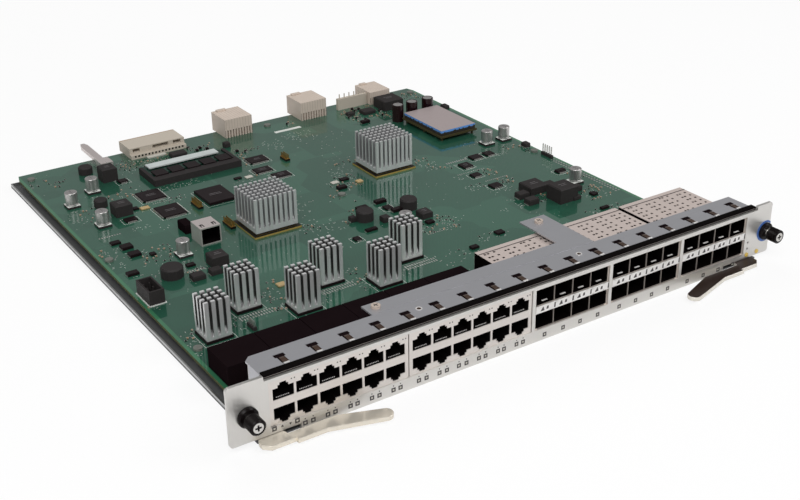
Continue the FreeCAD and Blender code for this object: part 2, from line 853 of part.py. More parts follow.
# ------------------------------------------------------------------ bracket over the ports
def make_bracket():
    """Folded cover sheet with its arm, two legs and a row of spring fingers in T-shaped slots."""
    bracket = Piece("top_bracket")
    narrow = bracket_front + S.bracket_narrow
    wide = bracket_front + S.bracket_wide
    reach = cage_post_y + S.post_arm_inset
    step_x = bracket_step_x
    arm_x = bracket_arm_x
    arm_end = arm_x + S.bracket_arm_width
    corner = S.bracket_chamfer
    outline = [
        (bracket_left, bracket_front), (bracket_right, bracket_front), (bracket_right, narrow),
        (arm_end, narrow), (arm_end, reach), (arm_x, reach), (arm_x, wide), (step_x, wide),
        (step_x, narrow), (bracket_left + corner, narrow), (bracket_left, narrow - corner),
    ]
    bracket.pad(bracket.sketch("XY_Plane", [outline], bracket_under), S.bracket_sheet)
    leg_height = bracket_top - board_top
    leg_from = bracket_front + S.bracket_leg_start
    for left in (bracket_left, bracket_right - S.bracket_sheet):
        leg = rectangle(left, leg_from, left + S.bracket_sheet, leg_from + S.bracket_leg_length)
        bracket.pad(bracket.sketch("XY_Plane", [leg], board_top), leg_height)
    middle = bracket_left + S.finger_first
    root = bracket_front + S.finger_root
    cross = root + S.finger_slot_length
    end = cross + S.finger_cross_length
    half_slot = S.finger_slot_width / 2
    half_cross = S.finger_cross_width / 2
    slot = [
        (middle - half_slot, root), (middle + half_slot, root), (middle + half_slot, cross),
        (middle + half_cross, cross), (middle + half_cross, end), (middle - half_cross, end),
        (middle - half_cross, cross), (middle - half_slot, cross),
    ]
    half_notch = S.notch_width / 2
    notch = rectangle(middle - half_notch, bracket_front, middle + half_notch, bracket_front + S.notch_depth)
    opening = bracket.pocket(bracket.sketch("XY_Plane", [slot, notch], bracket_top), S.bracket_sheet)
    bracket.row(opening, "X_Axis", finger_pitch, S.finger_count)
    crease = rectangle(step_x + corner, narrow, arm_end, narrow + S.crease_width)
    bracket.pocket(bracket.sketch("XY_Plane", [crease], bracket_top), S.crease_depth)
    lap = S.finger_sheet
    side_view = [
        (root - lap, bracket_top), (root, bracket_top), (root + S.finger_length, bracket_top - S.finger_drop),
        (root + S.finger_length, bracket_top - S.finger_drop - S.finger_sheet),
        (root, bracket_top - S.finger_sheet), (root - lap, bracket_top - S.finger_sheet),
    ]
    half_finger = S.finger_width / 2
    tongue = bracket.pad(bracket.sketch("YZ_Plane", [side_view], middle - half_finger), S.finger_width)
    bracket.row(tongue, "X_Axis", finger_pitch, S.finger_count)
    holes = [rod((x, y, bracket_under - 1), S.board_screw_radius, S.bracket_sheet + 2) for x, y in post_places()]
    node(cut(bracket.body, holes), "top_bracket")


def post_places():
    """Where the bracket is screwed to the two posts that stand on the board."""
    return (
        (bracket_step_x + S.post_step_inset, bracket_front + S.bracket_wide - S.post_rear_inset),
        (bracket_arm_x + S.bracket_arm_width / 2, cage_post_y),
    )


def make_bracket_posts():
    """Two tall threaded posts on the board, and the screws through the bracket into them."""
    depth = S.post_thread_depth
    post = rod((0, 0, board_top), S.post_radius, bracket_under - board_top)
    bore = rod((0, 0, bracket_under - depth), S.board_screw_radius, depth + 1)
    places = [(x, y, 0) for x, y in post_places()]
    spread("bracket_posts", cut(post, [bore]), places)
    head = rod((0, 0, bracket_top), S.board_screw_head, S.board_screw_head_height)
    tip = bracket_under - depth + S.post_tip_gap
    shank = rod((0, 0, tip), S.board_screw_radius, bracket_top - tip)
    spread("bracket_screws", fused([head, shank]), places)


def make_gasket():
    """The conductive foam strip between the panel and the bracket."""
    top = S.panel_height - S.gasket_top_gap
    foam = box(
        (bracket_left, tray_front, top - S.gasket_height),
        bracket_right - bracket_left, S.bracket_front_gap, S.gasket_height)
    node(foam, "panel_gasket")


# ------------------------------------------------------------------ levers and captive screws
def lever_outline(end, side):
    """The lever seen from above, closed: hub, outer claw, stepped arm and turned-out tip."""
    hub = S.lever_hub_radius
    pivot = end + side * S.lever_pivot_x

    def at(x, y):
        return end + side * x, panel_front + y

    def by_hub(x, y):
        return pivot + side * x, lever_pivot_y + y

    corners = [by_hub(-hub, 0.0)] + [at(x, y) for x, y in LEVER_CLAW]
    tip_side = len(corners)
    corners += [at(*LEVER_TIP[0]), at(*LEVER_TIP[2])] + [at(x, -S.lever_panel_gap) for x in LEVER_INNER]
    corners.append(by_hub(hub, 0.0))
    arcs = {tip_side: at(*LEVER_TIP[1]), len(corners) - 1: by_hub(0.0, hub)}
    return corners, arcs


def make_lever(name, end, side):
    """A flat polished ejector lever with a bored hub."""
    corners, arcs = lever_outline(end, side)
    lever = Piece(name)
    plate = lever.pad(lever.sketch("XY_Plane", [corners], lever_low, arcs), S.lever_thickness)
    top = float(lever_low + S.lever_thickness)
    hub_line = float(lever_pivot_y) - 1e-6

    def upper_edge(edge):
        return all(abs(v.Point.z - top) < 1e-6 and v.Point.y < hub_line for v in edge.Vertexes)

    lever.dressed("Fillet", plate, S.lever_edge, upper_edge)
    pivot = end + side * S.lever_pivot_x
    bore = rod((pivot, lever_pivot_y, lever_low - 1), S.lever_pin_radius + S.lever_pin_fit, S.lever_thickness + 2)
    node(cut(lever.body, [bore]), name)


def make_lever_pins():
    """The riveted pins that the levers turn on, with their heads just above the levers."""
    head_from = lever_low + S.lever_thickness + S.lever_lift
    pins = []
    for x in lever_pivots():
        shank = rod((x, lever_pivot_y, 0.0), S.lever_pin_radius, head_from)
        head = rod((x, lever_pivot_y, head_from), S.lever_pin_head, S.lever_pin_head_height)
        pins.append(fused([shank, head]))
    node(together(pins), "lever_pins")


def along_screw(name, x, outline):
    """A turned piece on a captive screw's axis; outline gives (radius, distance behind the panel face)."""
    piece = Piece(name)
    piece.turned(outline, "Y_Axis")
    put(piece.body, (x, panel_front, S.screw_height))
    return piece


def make_ferrules():
    """The domed rings pressed to the panel, one under each knob."""
    hole = S.screw_thread_radius + S.screw_fit
    ferrules = [along_screw("Ferrule", x, [
        (hole, -S.ferrule_length), (S.ferrule_radius - S.ferrule_lip, -S.ferrule_length),
        (S.ferrule_radius, -S.ferrule_length + S.ferrule_lip), (S.ferrule_radius, 0.0), (hole, 0.0)]).body
        for x in captive_places()]
    node(together(ferrules), "screw_ferrules")


def make_captive_screw(side, x):
    """The screw, the ring that keeps it in the panel and the knob pressed on it."""
    front = -S.knob_front
    knob_back = front + S.knob_length
    recess = S.knob_length - S.knob_hollow_depth
    head = front + recess / 2
    neck_from = S.panel_thickness + S.ring_gap
    neck_to = neck_from + S.ring_sheet + 2 * S.ring_fit
    neck = S.screw_thread_radius - S.ring_groove
    tip = S.screw_tip
    screw = along_screw(f"{side}_captive_screw", x, [
        (0.0, front), (S.screw_face_radius, front), (S.screw_face_radius, head),
        (S.screw_thread_radius, head), (S.screw_thread_radius, neck_from - S.ring_fit),
        (neck, neck_from - S.ring_fit), (neck, neck_to), (S.screw_thread_radius, neck_to),
        (S.screw_thread_radius, S.screw_thread_length - tip),
        (S.screw_thread_radius - tip, S.screw_thread_length), (0.0, S.screw_thread_length)])
    arm = S.cross_arm
    slot = S.cross_slot
    cross = [
        (-arm, -slot), (-slot, -slot), (-slot, -arm), (slot, -arm), (slot, -slot), (arm, -slot),
        (arm, slot), (slot, slot), (slot, arm), (-slot, arm), (-slot, slot), (-arm, slot)]
    screw.pocket(screw.sketch("XZ_Plane", [cross], S.knob_front), S.cross_depth)
    node(screw.body, f"{side}_captive_screw")

    ring = along_screw(f"{side}_screw_ring", x, [
        (neck + S.ring_fit, neck_from), (S.ring_radius, neck_from),
        (S.ring_radius, neck_from + S.ring_sheet), (neck + S.ring_fit, neck_from + S.ring_sheet)])
    node(ring.body, f"{side}_screw_ring")

    edge = S.knob_edge
    knob = along_screw(f"{side}_knob", x, [
        (S.screw_face_radius, front), (S.knob_radius - edge, front), (S.knob_radius, front + edge),
        (S.knob_radius, knob_back), (S.knob_hollow_radius, knob_back),
        (S.knob_hollow_radius, front + recess), (S.screw_thread_radius, front + recess),
        (S.screw_thread_radius, head), (S.screw_face_radius, head)])
    node(knob.body, f"{side}_knob")


def make_springs():
    """The flat-wire springs around the shanks, standing on the ferrules inside the knobs."""
    rise = S.spring_length - S.spring_wire
    helix = Part.makeHelix(float(rise / S.spring_turns), float(rise), float(S.spring_radius))
    half = float(S.spring_wire) / 2
    inner = float(S.spring_radius) - half
    outer = float(S.spring_radius) + half
    corners = [Vector(x, 0, z) for x, z in rectangle(inner, -half, outer, half)]
    section = Part.makePolygon(corners + corners[:1])
    coil = Part.Wire(helix.Edges).makePipeShell([section], True, True)
    master = document.addObject("Part::Feature", "Spring")
    master.Shape = coil
    seat = panel_front - S.ferrule_length - S.spring_wire / 2 - S.spring_seat
    master.Placement = Placement(Vector(0, seat, S.screw_height), Rotation(Vector(1, 0, 0), 90))
    spread("screw_springs", master, [(x, 0, 0) for x in captive_places()])


def make_blue_ring():
    """The coloured ring around the right captive screw, cut off by the panel's end."""
    x = captive_places()[1]
    start = (x, panel_front - S.blue_ring_sheet, S.screw_height)
    disc = rod(start, S.blue_ring_radius, S.blue_ring_sheet, "y")
    hole = rod((x, panel_front - 1, S.screw_height), S.ferrule_radius + S.window_clearance, 2, "y")
    beyond = box((panel_right, panel_front - 1, 0.0), S.blue_ring_radius, 2, S.panel_height)
    node(cut(disc, [hole, beyond]), "blue_ring")


def make_lights():
    """The two light pipes of the status lights, through the panel."""
    start = panel_front - S.light_proud
    length = board_front - start
    pipes = [rod((x, start, S.light_height), S.light_radius, length, "y") for x in light_places()]
    node(together(pipes), "status_lights")


# ------------------------------------------------------------------ heat sinks and chips
def make_sink(name, place, width, depth, foot, base, top, pins):
    """A pin-fin heat sink: a base plate and a grid of flat pins."""
    columns, rows, long_side, short_side = pins
    x, y = place
    left = x - width / 2
    front = y - depth / 2
    sink = Piece(name)
    sink.pad(sink.sketch("XY_Plane", [rectangle(left, front, left + width, front + depth)], foot), base)
    pin = sink.pad(
        sink.sketch("XY_Plane", [rectangle(left, front, left + long_side, front + short_side)], foot + base),
        top - foot - base)
    sink.row(pin, "X_Axis", (width - long_side) / (columns - 1), columns,
             "Y_Axis", (depth - short_side) / (rows - 1), rows)
    node(sink.body, name)


def make_small_sinks():
    """Six small heat sinks on their chips."""
    foot = board_top + S.small_chip_height
    pins = (S.small_pin_count, S.small_pin_count, S.small_pin_long, S.small_pin_short)
    for number, (x, y) in enumerate(SMALL_SINKS, start=1):
        make_sink(f"small_heat_sink_{number}", spot(x, y), S.small_sink_width, S.small_sink_width,
                  foot, S.small_sink_base, S.small_sink_top, pins)
    half = S.small_chip_width / 2
    chip = box((-half, -half, board_top), S.small_chip_width, S.small_chip_width, S.small_chip_height)
    spread("port_chips", chip, [(*spot(x, y), 0) for x, y in SMALL_SINKS])


def make_big_sinks():
    """Two big heat sinks on the switching chips' packages."""
    foot = board_top + S.package_height + S.package_lid_height
    pins = (S.big_pin_columns, S.big_pin_rows, S.big_pin_long, S.big_pin_short)
    for number, (x, y) in enumerate(BIG_SINKS, start=1):
        make_sink(f"big_heat_sink_{number}", spot(x, y), S.big_sink_width, S.big_sink_depth,
                  foot, S.big_sink_base, S.big_sink_top, pins)
    width = S.big_sink_width + 2 * S.package_margin
    depth = S.big_sink_depth + 2 * S.package_margin
    carrier = box((-width / 2, -depth / 2, board_top), width, depth, S.package_height)
    margin = S.package_lid_margin
    lid = box((margin - S.big_sink_width / 2, margin - S.big_sink_depth / 2, board_top + S.package_height),
              S.big_sink_width - 2 * margin, S.big_sink_depth - 2 * margin, S.package_lid_height)
    spread("switch_chips", fused([carrier, lid]), [(*spot(x, y), 0) for x, y in BIG_SINKS])


def chamfered_box(width, depth, height, edge):
    """A moulded block with its upper edges broken."""
    corners = [Vector(x, y, 0) for x, y in rectangle(-width / 2, -depth / 2, width / 2, depth / 2)]
    solid = Part.Face(Part.makePolygon(corners + corners[:1])).extrude(Vector(0, 0, height))
    upper = [side for side in solid.Edges if all(abs(v.Point.z - height) < 1e-6 for v in side.Vertexes)]
    return solid.makeChamfer(float(edge), upper)


def make_blocks(name, rows, edge):
    """A group of separate moulded blocks on the board, given as middle x and y, width, depth, height."""
    shapes = [chamfered_box(width, depth, height, edge).translated(Vector(x, y, board_top))
              for x, y, width, depth, height in rows]
    item = document.addObject("Part::Feature", name)
    item.Shape = Part.makeCompound(shapes)
    node(item, name)


def make_inductors():
    """The black moulded inductors; one stands against the front of the stacked jack."""
    rows = [(*spot(x, y), *block) for x, y, *block in PLAIN_INDUCTORS]
    jack_x, jack_y = spot(*STACK_JACK_PLACE)
    rows.append((jack_x, jack_y - S.stack_jack_gap - JACK_INDUCTOR[1] / 2, *JACK_INDUCTOR))
    make_blocks("power_inductors", rows, S.block_chamfer)


def make_rounds(name, rows, edge):
    """A group of separate round parts on the board, given as x, y, radius, height."""
    shapes = []
    for x, y, radius, height in rows:
        across, along = spot(x, y)
        drum = Part.makeCylinder(radius, height, Vector(across, along, board_top))
        rim = [e for e in drum.Edges if abs(e.BoundBox.ZMin - float(board_top) - height) < 1e-6]
        shapes.append(drum.makeChamfer(float(edge), rim))
    item = document.addObject("Part::Feature", name)
    item.Shape = Part.makeCompound(shapes)
    node(item, name)


def make_capacitors():
    """Silver can capacitors on their square bases, and the taller sleeved ones."""
    half = S.can_base_width / 2
    base = box((-half, -half, board_top), S.can_base_width, S.can_base_width, S.can_base_height)
    can = rod((0, 0, board_top + S.can_base_height), S.can_radius, S.can_height - S.can_base_height)
    spread("can_capacitors", fused([base, can]), [(*spot(x, y), 0) for x, y in CANS])
    sleeve = rod((0, 0, board_top), S.sleeve_radius, S.sleeve_height)
    brick_x, brick_y = spot(*BRICK_PLACE)
    behind = brick_y + S.brick_length / 2 + S.sleeve_brick_gap + S.sleeve_radius
    spread("sleeved_capacitors", sleeve, [(brick_x + x, behind, 0) for x in SLEEVED_CAPS])


def make_magnetics():
    """The row of black transformer modules behind the network jacks, up to the first optical cage."""
    left = board_left + S.magnetics_inset
    pitch = (cage_left - left) / S.magnetics_count
    one = box((left, board_front + S.magnetics_front, board_top),
              pitch - S.magnetics_gap, S.magnetics_depth, S.magnetics_height)
    spread("magnetics_modules", one, [(i * float(pitch), 0, 0) for i in range(int(S.magnetics_count))])


# ------------------------------------------------------------------ connectors, module and supply
def make_memory():
    """A memory socket with its arms, and the module lying in it."""
    x, y = spot(*MODULE_PLACE)
    front = y - S.module_length
    arm = S.socket_arm
    fit = S.module_fit
    body = box((x - arm, front - S.socket_depth / 2, board_top),
               S.module_width + 2 * arm, S.socket_depth, S.socket_height)
    arms = [
        box((left, front, board_top), arm - fit, S.module_length - S.socket_arm_short, S.socket_height)
        for left in (x - arm, x + S.module_width + fit)]
    low = board_top + S.module_height
    slot = box((x - fit, front - fit, low), S.module_width + 2 * fit, S.socket_depth,
               S.module_sheet + 2 * S.module_lift)
    node(cut(fused([body] + arms), [slot]), "memory_socket")
    board = box((x, front, low + S.module_lift), S.module_width, S.module_length, S.module_sheet)
    chip_low = low + S.module_lift + S.module_sheet
    chip_step = S.module_chip_width + S.module_chip_gap
    chips = [box((x + S.module_chip_first + i * chip_step, front + S.socket_depth, chip_low),
                 S.module_chip_width, S.module_chip_depth, S.module_chip_height)
             for i in range(int(S.module_chip_count))]
    node(fused([board] + chips), "memory_module")


def make_brick():
    """The power converter: its board on feet, and the metal cover on top."""
    x, y = spot(*BRICK_PLACE)
    left = x - S.brick_width / 2
    front = y - S.brick_length / 2
    low = board_top + S.brick_board_height
    inset = S.brick_foot_inset
    plate = box((left, front, low), S.brick_width, S.brick_length, S.brick_board_sheet)
    feet = [rod((left + dx, front + dy, board_top), S.brick_foot_radius, S.brick_board_height)
            for dx in (inset, S.brick_width - inset)
            for dy in (inset, S.brick_length / 2, S.brick_length - inset)]
    node(fused([plate] + feet), "converter_board")
    rim = S.brick_rim
    cover = box((left + rim, front + rim, low + S.brick_board_sheet),
                S.brick_width - 2 * rim, S.brick_length - 2 * rim, S.brick_cover_height)
    node(cover, "converter_cover")


def connector_left(name):
    """The left side of a rear signal connector."""
    return spot(BACKPLANE[name], 0)[0]


def make_backplane_connector(name):
    """A rear signal connector: a moulding with slots down its front where the contacts enter."""
    less = S.small_connector_less if name == SMALL_CONNECTOR else 0.0
    width = S.connector_width - less
    height = S.connector_height - less
    left = connector_left(name)
    rear = board_rear + S.connector_overhang
    front = rear - S.connector_length
    piece = Piece(name)
    piece.pad(piece.sketch("XY_Plane", [rectangle(left, front, left + width, rear)], board_top), height)
    step = (width - 2 * S.connector_margin) / S.connector_slots
    gap = step * S.connector_slot_share
    first = left + S.connector_margin + (step - gap) / 2
    slot = rectangle(first, board_top, first + gap, board_top + S.connector_slot_height)
    cut_in = piece.pocket(piece.sketch("XZ_Plane", [slot], -front), S.connector_slot_depth)
    piece.row(cut_in, "X_Axis", step, S.connector_slots)
    inset = S.connector_key_inset
    key = rectangle(left + inset, rear - inset, left + width / 2, rear)
    piece.pad(piece.sketch("XY_Plane", [key], board_top + height), S.connector_key_height)
    node(piece.body, name)


def make_power_connector():
    """The wide, low power connector at the rear, with three windows in its front."""
    left = spot(POWER_CONNECTOR_X, 0)[0]
    right = left + S.power_connector_width
    front = board_rear + S.connector_overhang - S.power_connector_length
    piece = Piece("power_connector")
    base = rectangle(left, front, right, front + S.power_connector_length)
    piece.pad(piece.sketch("XY_Plane", [base], board_top), S.power_connector_height)
    low = board_top + S.power_window_low
    top = board_top + S.power_connector_height - S.power_window_wall
    windows = [rectangle(left + start, low, left + end, top) for start, end in POWER_WINDOWS]
    piece.pocket(piece.sketch("XZ_Plane", windows, -front), S.power_window_depth)
    ledge = rectangle(left, front - S.power_ledge_depth, right, front)
    piece.pad(piece.sketch("XY_Plane", [ledge], board_top), S.power_ledge_height)
    node(piece.body, "power_connector")


def make_guide():
    """The guide bar that reaches past the rear edge, and the block that holds it."""
    x = spot(GUIDE_X, 0)[0]
    low = board_top + S.guide_height
    rear = board_rear + S.guide_overhang
    front = rear - S.guide_length
    half = S.guide_width / 2
    lead = S.guide_lead
    bar = Piece("guide_bar")
    outline = [
        (x - half, front), (x + half, front), (x + half, rear - lead), (x + half / 2, rear),
        (x - half / 2, rear), (x - half, rear - lead)]
    bar.pad(bar.sketch("XY_Plane", [outline], low), S.guide_sheet)
    node(bar.body, "guide_bar")
    wall = S.guide_wall
    block = box((x - half - wall, front, board_top), S.guide_width + 2 * wall, S.guide_block_length,
                S.guide_height + S.guide_sheet + wall)
    channel = box((x - half, front - 1, low), S.guide_width, S.guide_block_length + 2, S.guide_sheet)
    node(cut(block, [channel]), "guide_block")


def make_header():
    """The pin header against the smallest rear connector, with its row of upright pins."""
    x = connector_left(SMALL_CONNECTOR) - S.header_gap - S.header_width
    y = board_rear - S.header_rear_gap - S.header_depth
    wall = box((x, y, board_top), S.header_width, S.header_depth, S.header_height)
    step = S.header_width / S.header_pins
    half = S.header_pin / 2
    pins = [box((x + step * (i + 0.5) - half, y + S.header_depth / 2 - half, board_top + S.header_height),
                S.header_pin, S.header_pin, S.header_pin_rise) for i in range(int(S.header_pins))]
    node(fused([wall] + pins), "pin_header")


def make_pin_strips():
    """Small double-row pin strips standing on the board, their rows running front to rear."""
    pitch = S.strip_pitch
    thick = S.strip_pin
    solids = []
    for x, y, count in PIN_STRIPS:
        across, along = spot(x, y)
        left = across - pitch
        front = along - pitch * count / 2
        base = box((left, front, board_top), 2 * pitch, pitch * count, S.strip_base)
        pins = [
            box((left + pitch * (column + 0.5) - thick / 2, front + pitch * (row + 0.5) - thick / 2,
                 board_top + S.strip_base), thick, thick, S.strip_rise)
            for column in range(2) for row in range(count)]
        solids.append(fused([base] + pins))
    node(together(solids), "pin_strips")


def make_stacked_jack():
    """The metal-shelled double jack on the board, with two mouths at the front."""
    middle, y = spot(*STACK_JACK_PLACE)
    x = middle - S.stack_jack_width / 2
    wall = S.stack_jack_wall
    shell = box((x, y, board_top), S.stack_jack_width, S.stack_jack_depth, S.stack_jack_height)
    mouth_height = (S.stack_jack_height - 2 * wall - S.stack_jack_bar) / 2
    depth = S.stack_jack_depth - S.stack_jack_back
    mouths = [box((x + wall, y - 1, low), S.stack_jack_width - 2 * wall, depth + 1, mouth_height)
              for low in (board_top + wall, board_top + wall + mouth_height + S.stack_jack_bar)]
    node(cut(shell, mouths), "stacked_jack")


def make_box_header():
    """The shrouded power header: an open box with six posts inside."""
    x, y = spot(*BOX_HEADER_PLACE)
    wall = S.box_header_wall
    floor = board_top + S.box_header_floor
    shroud = box((x, y, board_top), S.box_header_width, S.box_header_length, S.box_header_height)
    inside = box((x + wall, y + wall, floor), S.box_header_width - 2 * wall,
                 S.box_header_length - 2 * wall, S.box_header_height)
    thick = S.box_header_post
    posts = [box((x + wall + dx, y + wall + dy, floor - 1), thick, thick, S.box_header_post_height + 1)
             for dx, dy in BOX_HEADER_POSTS]
    node(fused([cut(shroud, [inside])] + posts), "box_header")


# ------------------------------------------------------------------ the whole card
def build():
    """Build every sub-part."""
    make_tray()
    make_board()
    make_standoffs()
    make_panel()
    for number, side in enumerate(("left", "right")):
        make_jack_block(side, jack_left + number * (jack_width + S.jack_gap))
    strips = []
    for number in range(int(S.cage_count)):
        left = cage_left + number * cage_step
        make_cage(number + 1, left)
        strips.append(make_cage_strip(number + 1, left))
    node(together(strips), "cage_strips")
    make_bracket()
    make_bracket_posts()
    make_gasket()
    for name, end, side in (("left_lever", panel_left, 1), ("right_lever", panel_right, -1)):
        make_lever(name, end, side)
    make_lever_pins()
    for side, x in zip(("left", "right"), captive_places()):
        make_captive_screw(side, x)
    make_ferrules()
    make_springs()
    make_blue_ring()
    make_lights()
    make_small_sinks()
    make_big_sinks()
    make_magnetics()
    make_capacitors()
    make_inductors()
    make_blocks("logic_chips", [(*spot(x, y), *chip) for x, y, *chip in LOGIC_CHIPS], S.chip_chamfer)
    make_rounds("round_inductors", ROUND_INDUCTORS, S.block_chamfer)
    make_memory()
    make_brick()
    for name in BACKPLANE:
        make_backplane_connector(name)
    make_power_connector()
    make_guide()
    make_header()
    make_pin_strips()
    make_stacked_jack()
    make_box_header()


def check():
    """Stop if any object failed, if a cut took nothing away or if a sub-part isn't a sound solid."""
    document.recompute()
    for item in document.Objects:
        if "Invalid" in item.State or "Error" in item.State:
            raise RuntimeError(f"{item.Name} ({item.Label}) failed: {item.State}")
        if item.TypeId == "PartDesign::Pocket" and item.BaseFeature:
            if item.Shape.Volume >= item.BaseFeature.Shape.Volume - 1e-6:
                raise RuntimeError(f"{item.Name} cuts nothing")
    for name, item in nodes:
        if item.Shape.isNull() or not item.Shape.isValid() or not item.Shape.Solids:
            raise RuntimeError(f"{name} isn't a sound solid")


def write():
    """Write each sub-part to its own file."""
    for name, item in nodes:
        item.Shape.exportStep(f"parts/{name}.step")
        bounds = item.Shape.BoundBox
        print(f"{name:26s} solids {len(item.Shape.Solids):3d}  "
              f"x {bounds.XMin:8.2f} {bounds.XMax:8.2f}  y {bounds.YMin:8.2f} {bounds.YMax:8.2f}  "
              f"z {bounds.ZMin:7.2f} {bounds.ZMax:7.2f}")
    print(len(nodes), "sub-parts")


build()
check()
write()
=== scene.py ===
"""Looks of a switch line card: finishes, small board parts, port details, light and camera."""

import logging
import math
import random
from dataclasses import dataclass, field
from enum import Enum
from typing import Callable, Iterable, Sequence

import bpy
from mathutils import Matrix, Vector


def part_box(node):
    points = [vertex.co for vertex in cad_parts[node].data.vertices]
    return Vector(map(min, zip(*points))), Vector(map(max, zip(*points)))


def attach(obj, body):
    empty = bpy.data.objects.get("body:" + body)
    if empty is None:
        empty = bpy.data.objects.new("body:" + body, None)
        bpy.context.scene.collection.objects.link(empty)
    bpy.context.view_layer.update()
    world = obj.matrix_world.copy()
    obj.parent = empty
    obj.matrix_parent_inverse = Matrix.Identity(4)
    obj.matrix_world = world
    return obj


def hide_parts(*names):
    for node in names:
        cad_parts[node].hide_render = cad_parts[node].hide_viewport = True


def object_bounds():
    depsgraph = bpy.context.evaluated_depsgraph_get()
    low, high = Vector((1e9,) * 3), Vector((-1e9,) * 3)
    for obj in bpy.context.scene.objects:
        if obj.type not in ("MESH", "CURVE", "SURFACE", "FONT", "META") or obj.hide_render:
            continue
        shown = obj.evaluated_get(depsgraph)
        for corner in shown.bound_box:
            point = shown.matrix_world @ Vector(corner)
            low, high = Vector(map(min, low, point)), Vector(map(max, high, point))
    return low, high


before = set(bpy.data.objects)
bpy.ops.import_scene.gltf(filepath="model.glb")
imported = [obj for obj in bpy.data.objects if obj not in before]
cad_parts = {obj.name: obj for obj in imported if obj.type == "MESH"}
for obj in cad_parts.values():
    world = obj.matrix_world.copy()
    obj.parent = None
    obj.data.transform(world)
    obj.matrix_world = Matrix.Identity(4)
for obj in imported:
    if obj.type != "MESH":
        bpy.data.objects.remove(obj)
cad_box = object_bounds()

log = logging.getLogger("line_card")

MM = 0.001
BODY = "card"
CAGES = tuple(f"optical_cage_{number}" for number in range(1, 4))
JACKS = ("left_jack_shield", "right_jack_shield")
CONNECTORS = tuple(f"backplane_connector_{letter}" for letter in "abc")
BIG_SINKS = tuple(f"big_heat_sink_{number}" for number in range(1, 3))
SMALL_SINKS = tuple(f"small_heat_sink_{number}" for number in range(1, 7))

SQUARE_ON = 0.9  # a face looks along an axis when its normal's share of that axis passes this
MICRONS = 1e6  # in a metre
MIX_FIRST, MIX_SECOND, MIX_COLOUR = 6, 7, 2  # the colour sockets of a Mix node
GRAIN_EVEN = (300.0, 300.0, 300.0)
GRAIN_FINE = (400.0, 400.0, 400.0)
GRAIN_ALONG_Y = (900.0, 80.0, 900.0)
UPSIDE_DOWN = Matrix.Scale(-1.0, 4, (0, 0, 1))
TO_THE_FRONT = Matrix.Rotation(math.radians(90), 4, "X")

Colour = tuple[float, float, float]
Corner = tuple[float, float, float]
Face = bpy.types.MeshPolygon
Material = bpy.types.Material
Piece = bpy.types.Object
Wanted = Callable[[Face], bool]


# ------------------------------------------------------------------ shader graphs
class Wire:
    """An output of a shader node, with arithmetic that adds Math nodes."""

    def __init__(self, graph: "Graph", socket: bpy.types.NodeSocket) -> None:
        """Keep the socket and the graph that it belongs to."""
        self.graph = graph
        self.socket = socket

    def maths(self, operation: str, *values: "Wire | float", clamp: bool = False) -> "Wire":
        """Add one Math node.

        Args:
            operation: the Math node's operation.
            values: its inputs, in order.
            clamp: whether the result stays between 0 and 1.

        Returns:
            The node's value.
        """
        settings = {"operation": operation, "use_clamp": clamp}
        return self.graph.node("ShaderNodeMath", settings, *values)

    def __add__(self, other: "Wire | float") -> "Wire":
        """Sum."""
        return self.maths("ADD", self, other)

    def __radd__(self, other: float) -> "Wire":
        """Sum, from the right."""
        return self.maths("ADD", other, self)

    def __sub__(self, other: "Wire | float") -> "Wire":
        """Difference."""
        return self.maths("SUBTRACT", self, other)

    def __rsub__(self, other: float) -> "Wire":
        """Difference, from the right."""
        return self.maths("SUBTRACT", other, self)

    def __mul__(self, other: "Wire | float") -> "Wire":
        """Product."""
        return self.maths("MULTIPLY", self, other)

    def __rmul__(self, other: float) -> "Wire":
        """Product, from the right."""
        return self.maths("MULTIPLY", other, self)

    def __truediv__(self, other: "Wire | float") -> "Wire":
        """Quotient."""
        return self.maths("DIVIDE", self, other)

    def above(self, edge: float, soft: float = 1e-5) -> "Wire":
        """A mask that rises from 0 to 1 where the value passes an edge."""
        return self.maths("DIVIDE", self - edge, soft, clamp=True)

    def below(self, edge: float, soft: float = 1e-5) -> "Wire":
        """A mask that is 1 under an edge and falls to 0 above it."""
        return 1.0 - self.above(edge, soft)

    def between(self, low: float, high: float, soft: float = 1e-5) -> "Wire":
        """A mask that is 1 between two edges."""
        return self.above(low, soft) * self.below(high, soft)

    def absolute(self) -> "Wire":
        """The value without its sign."""
        return self.maths("ABSOLUTE", self)


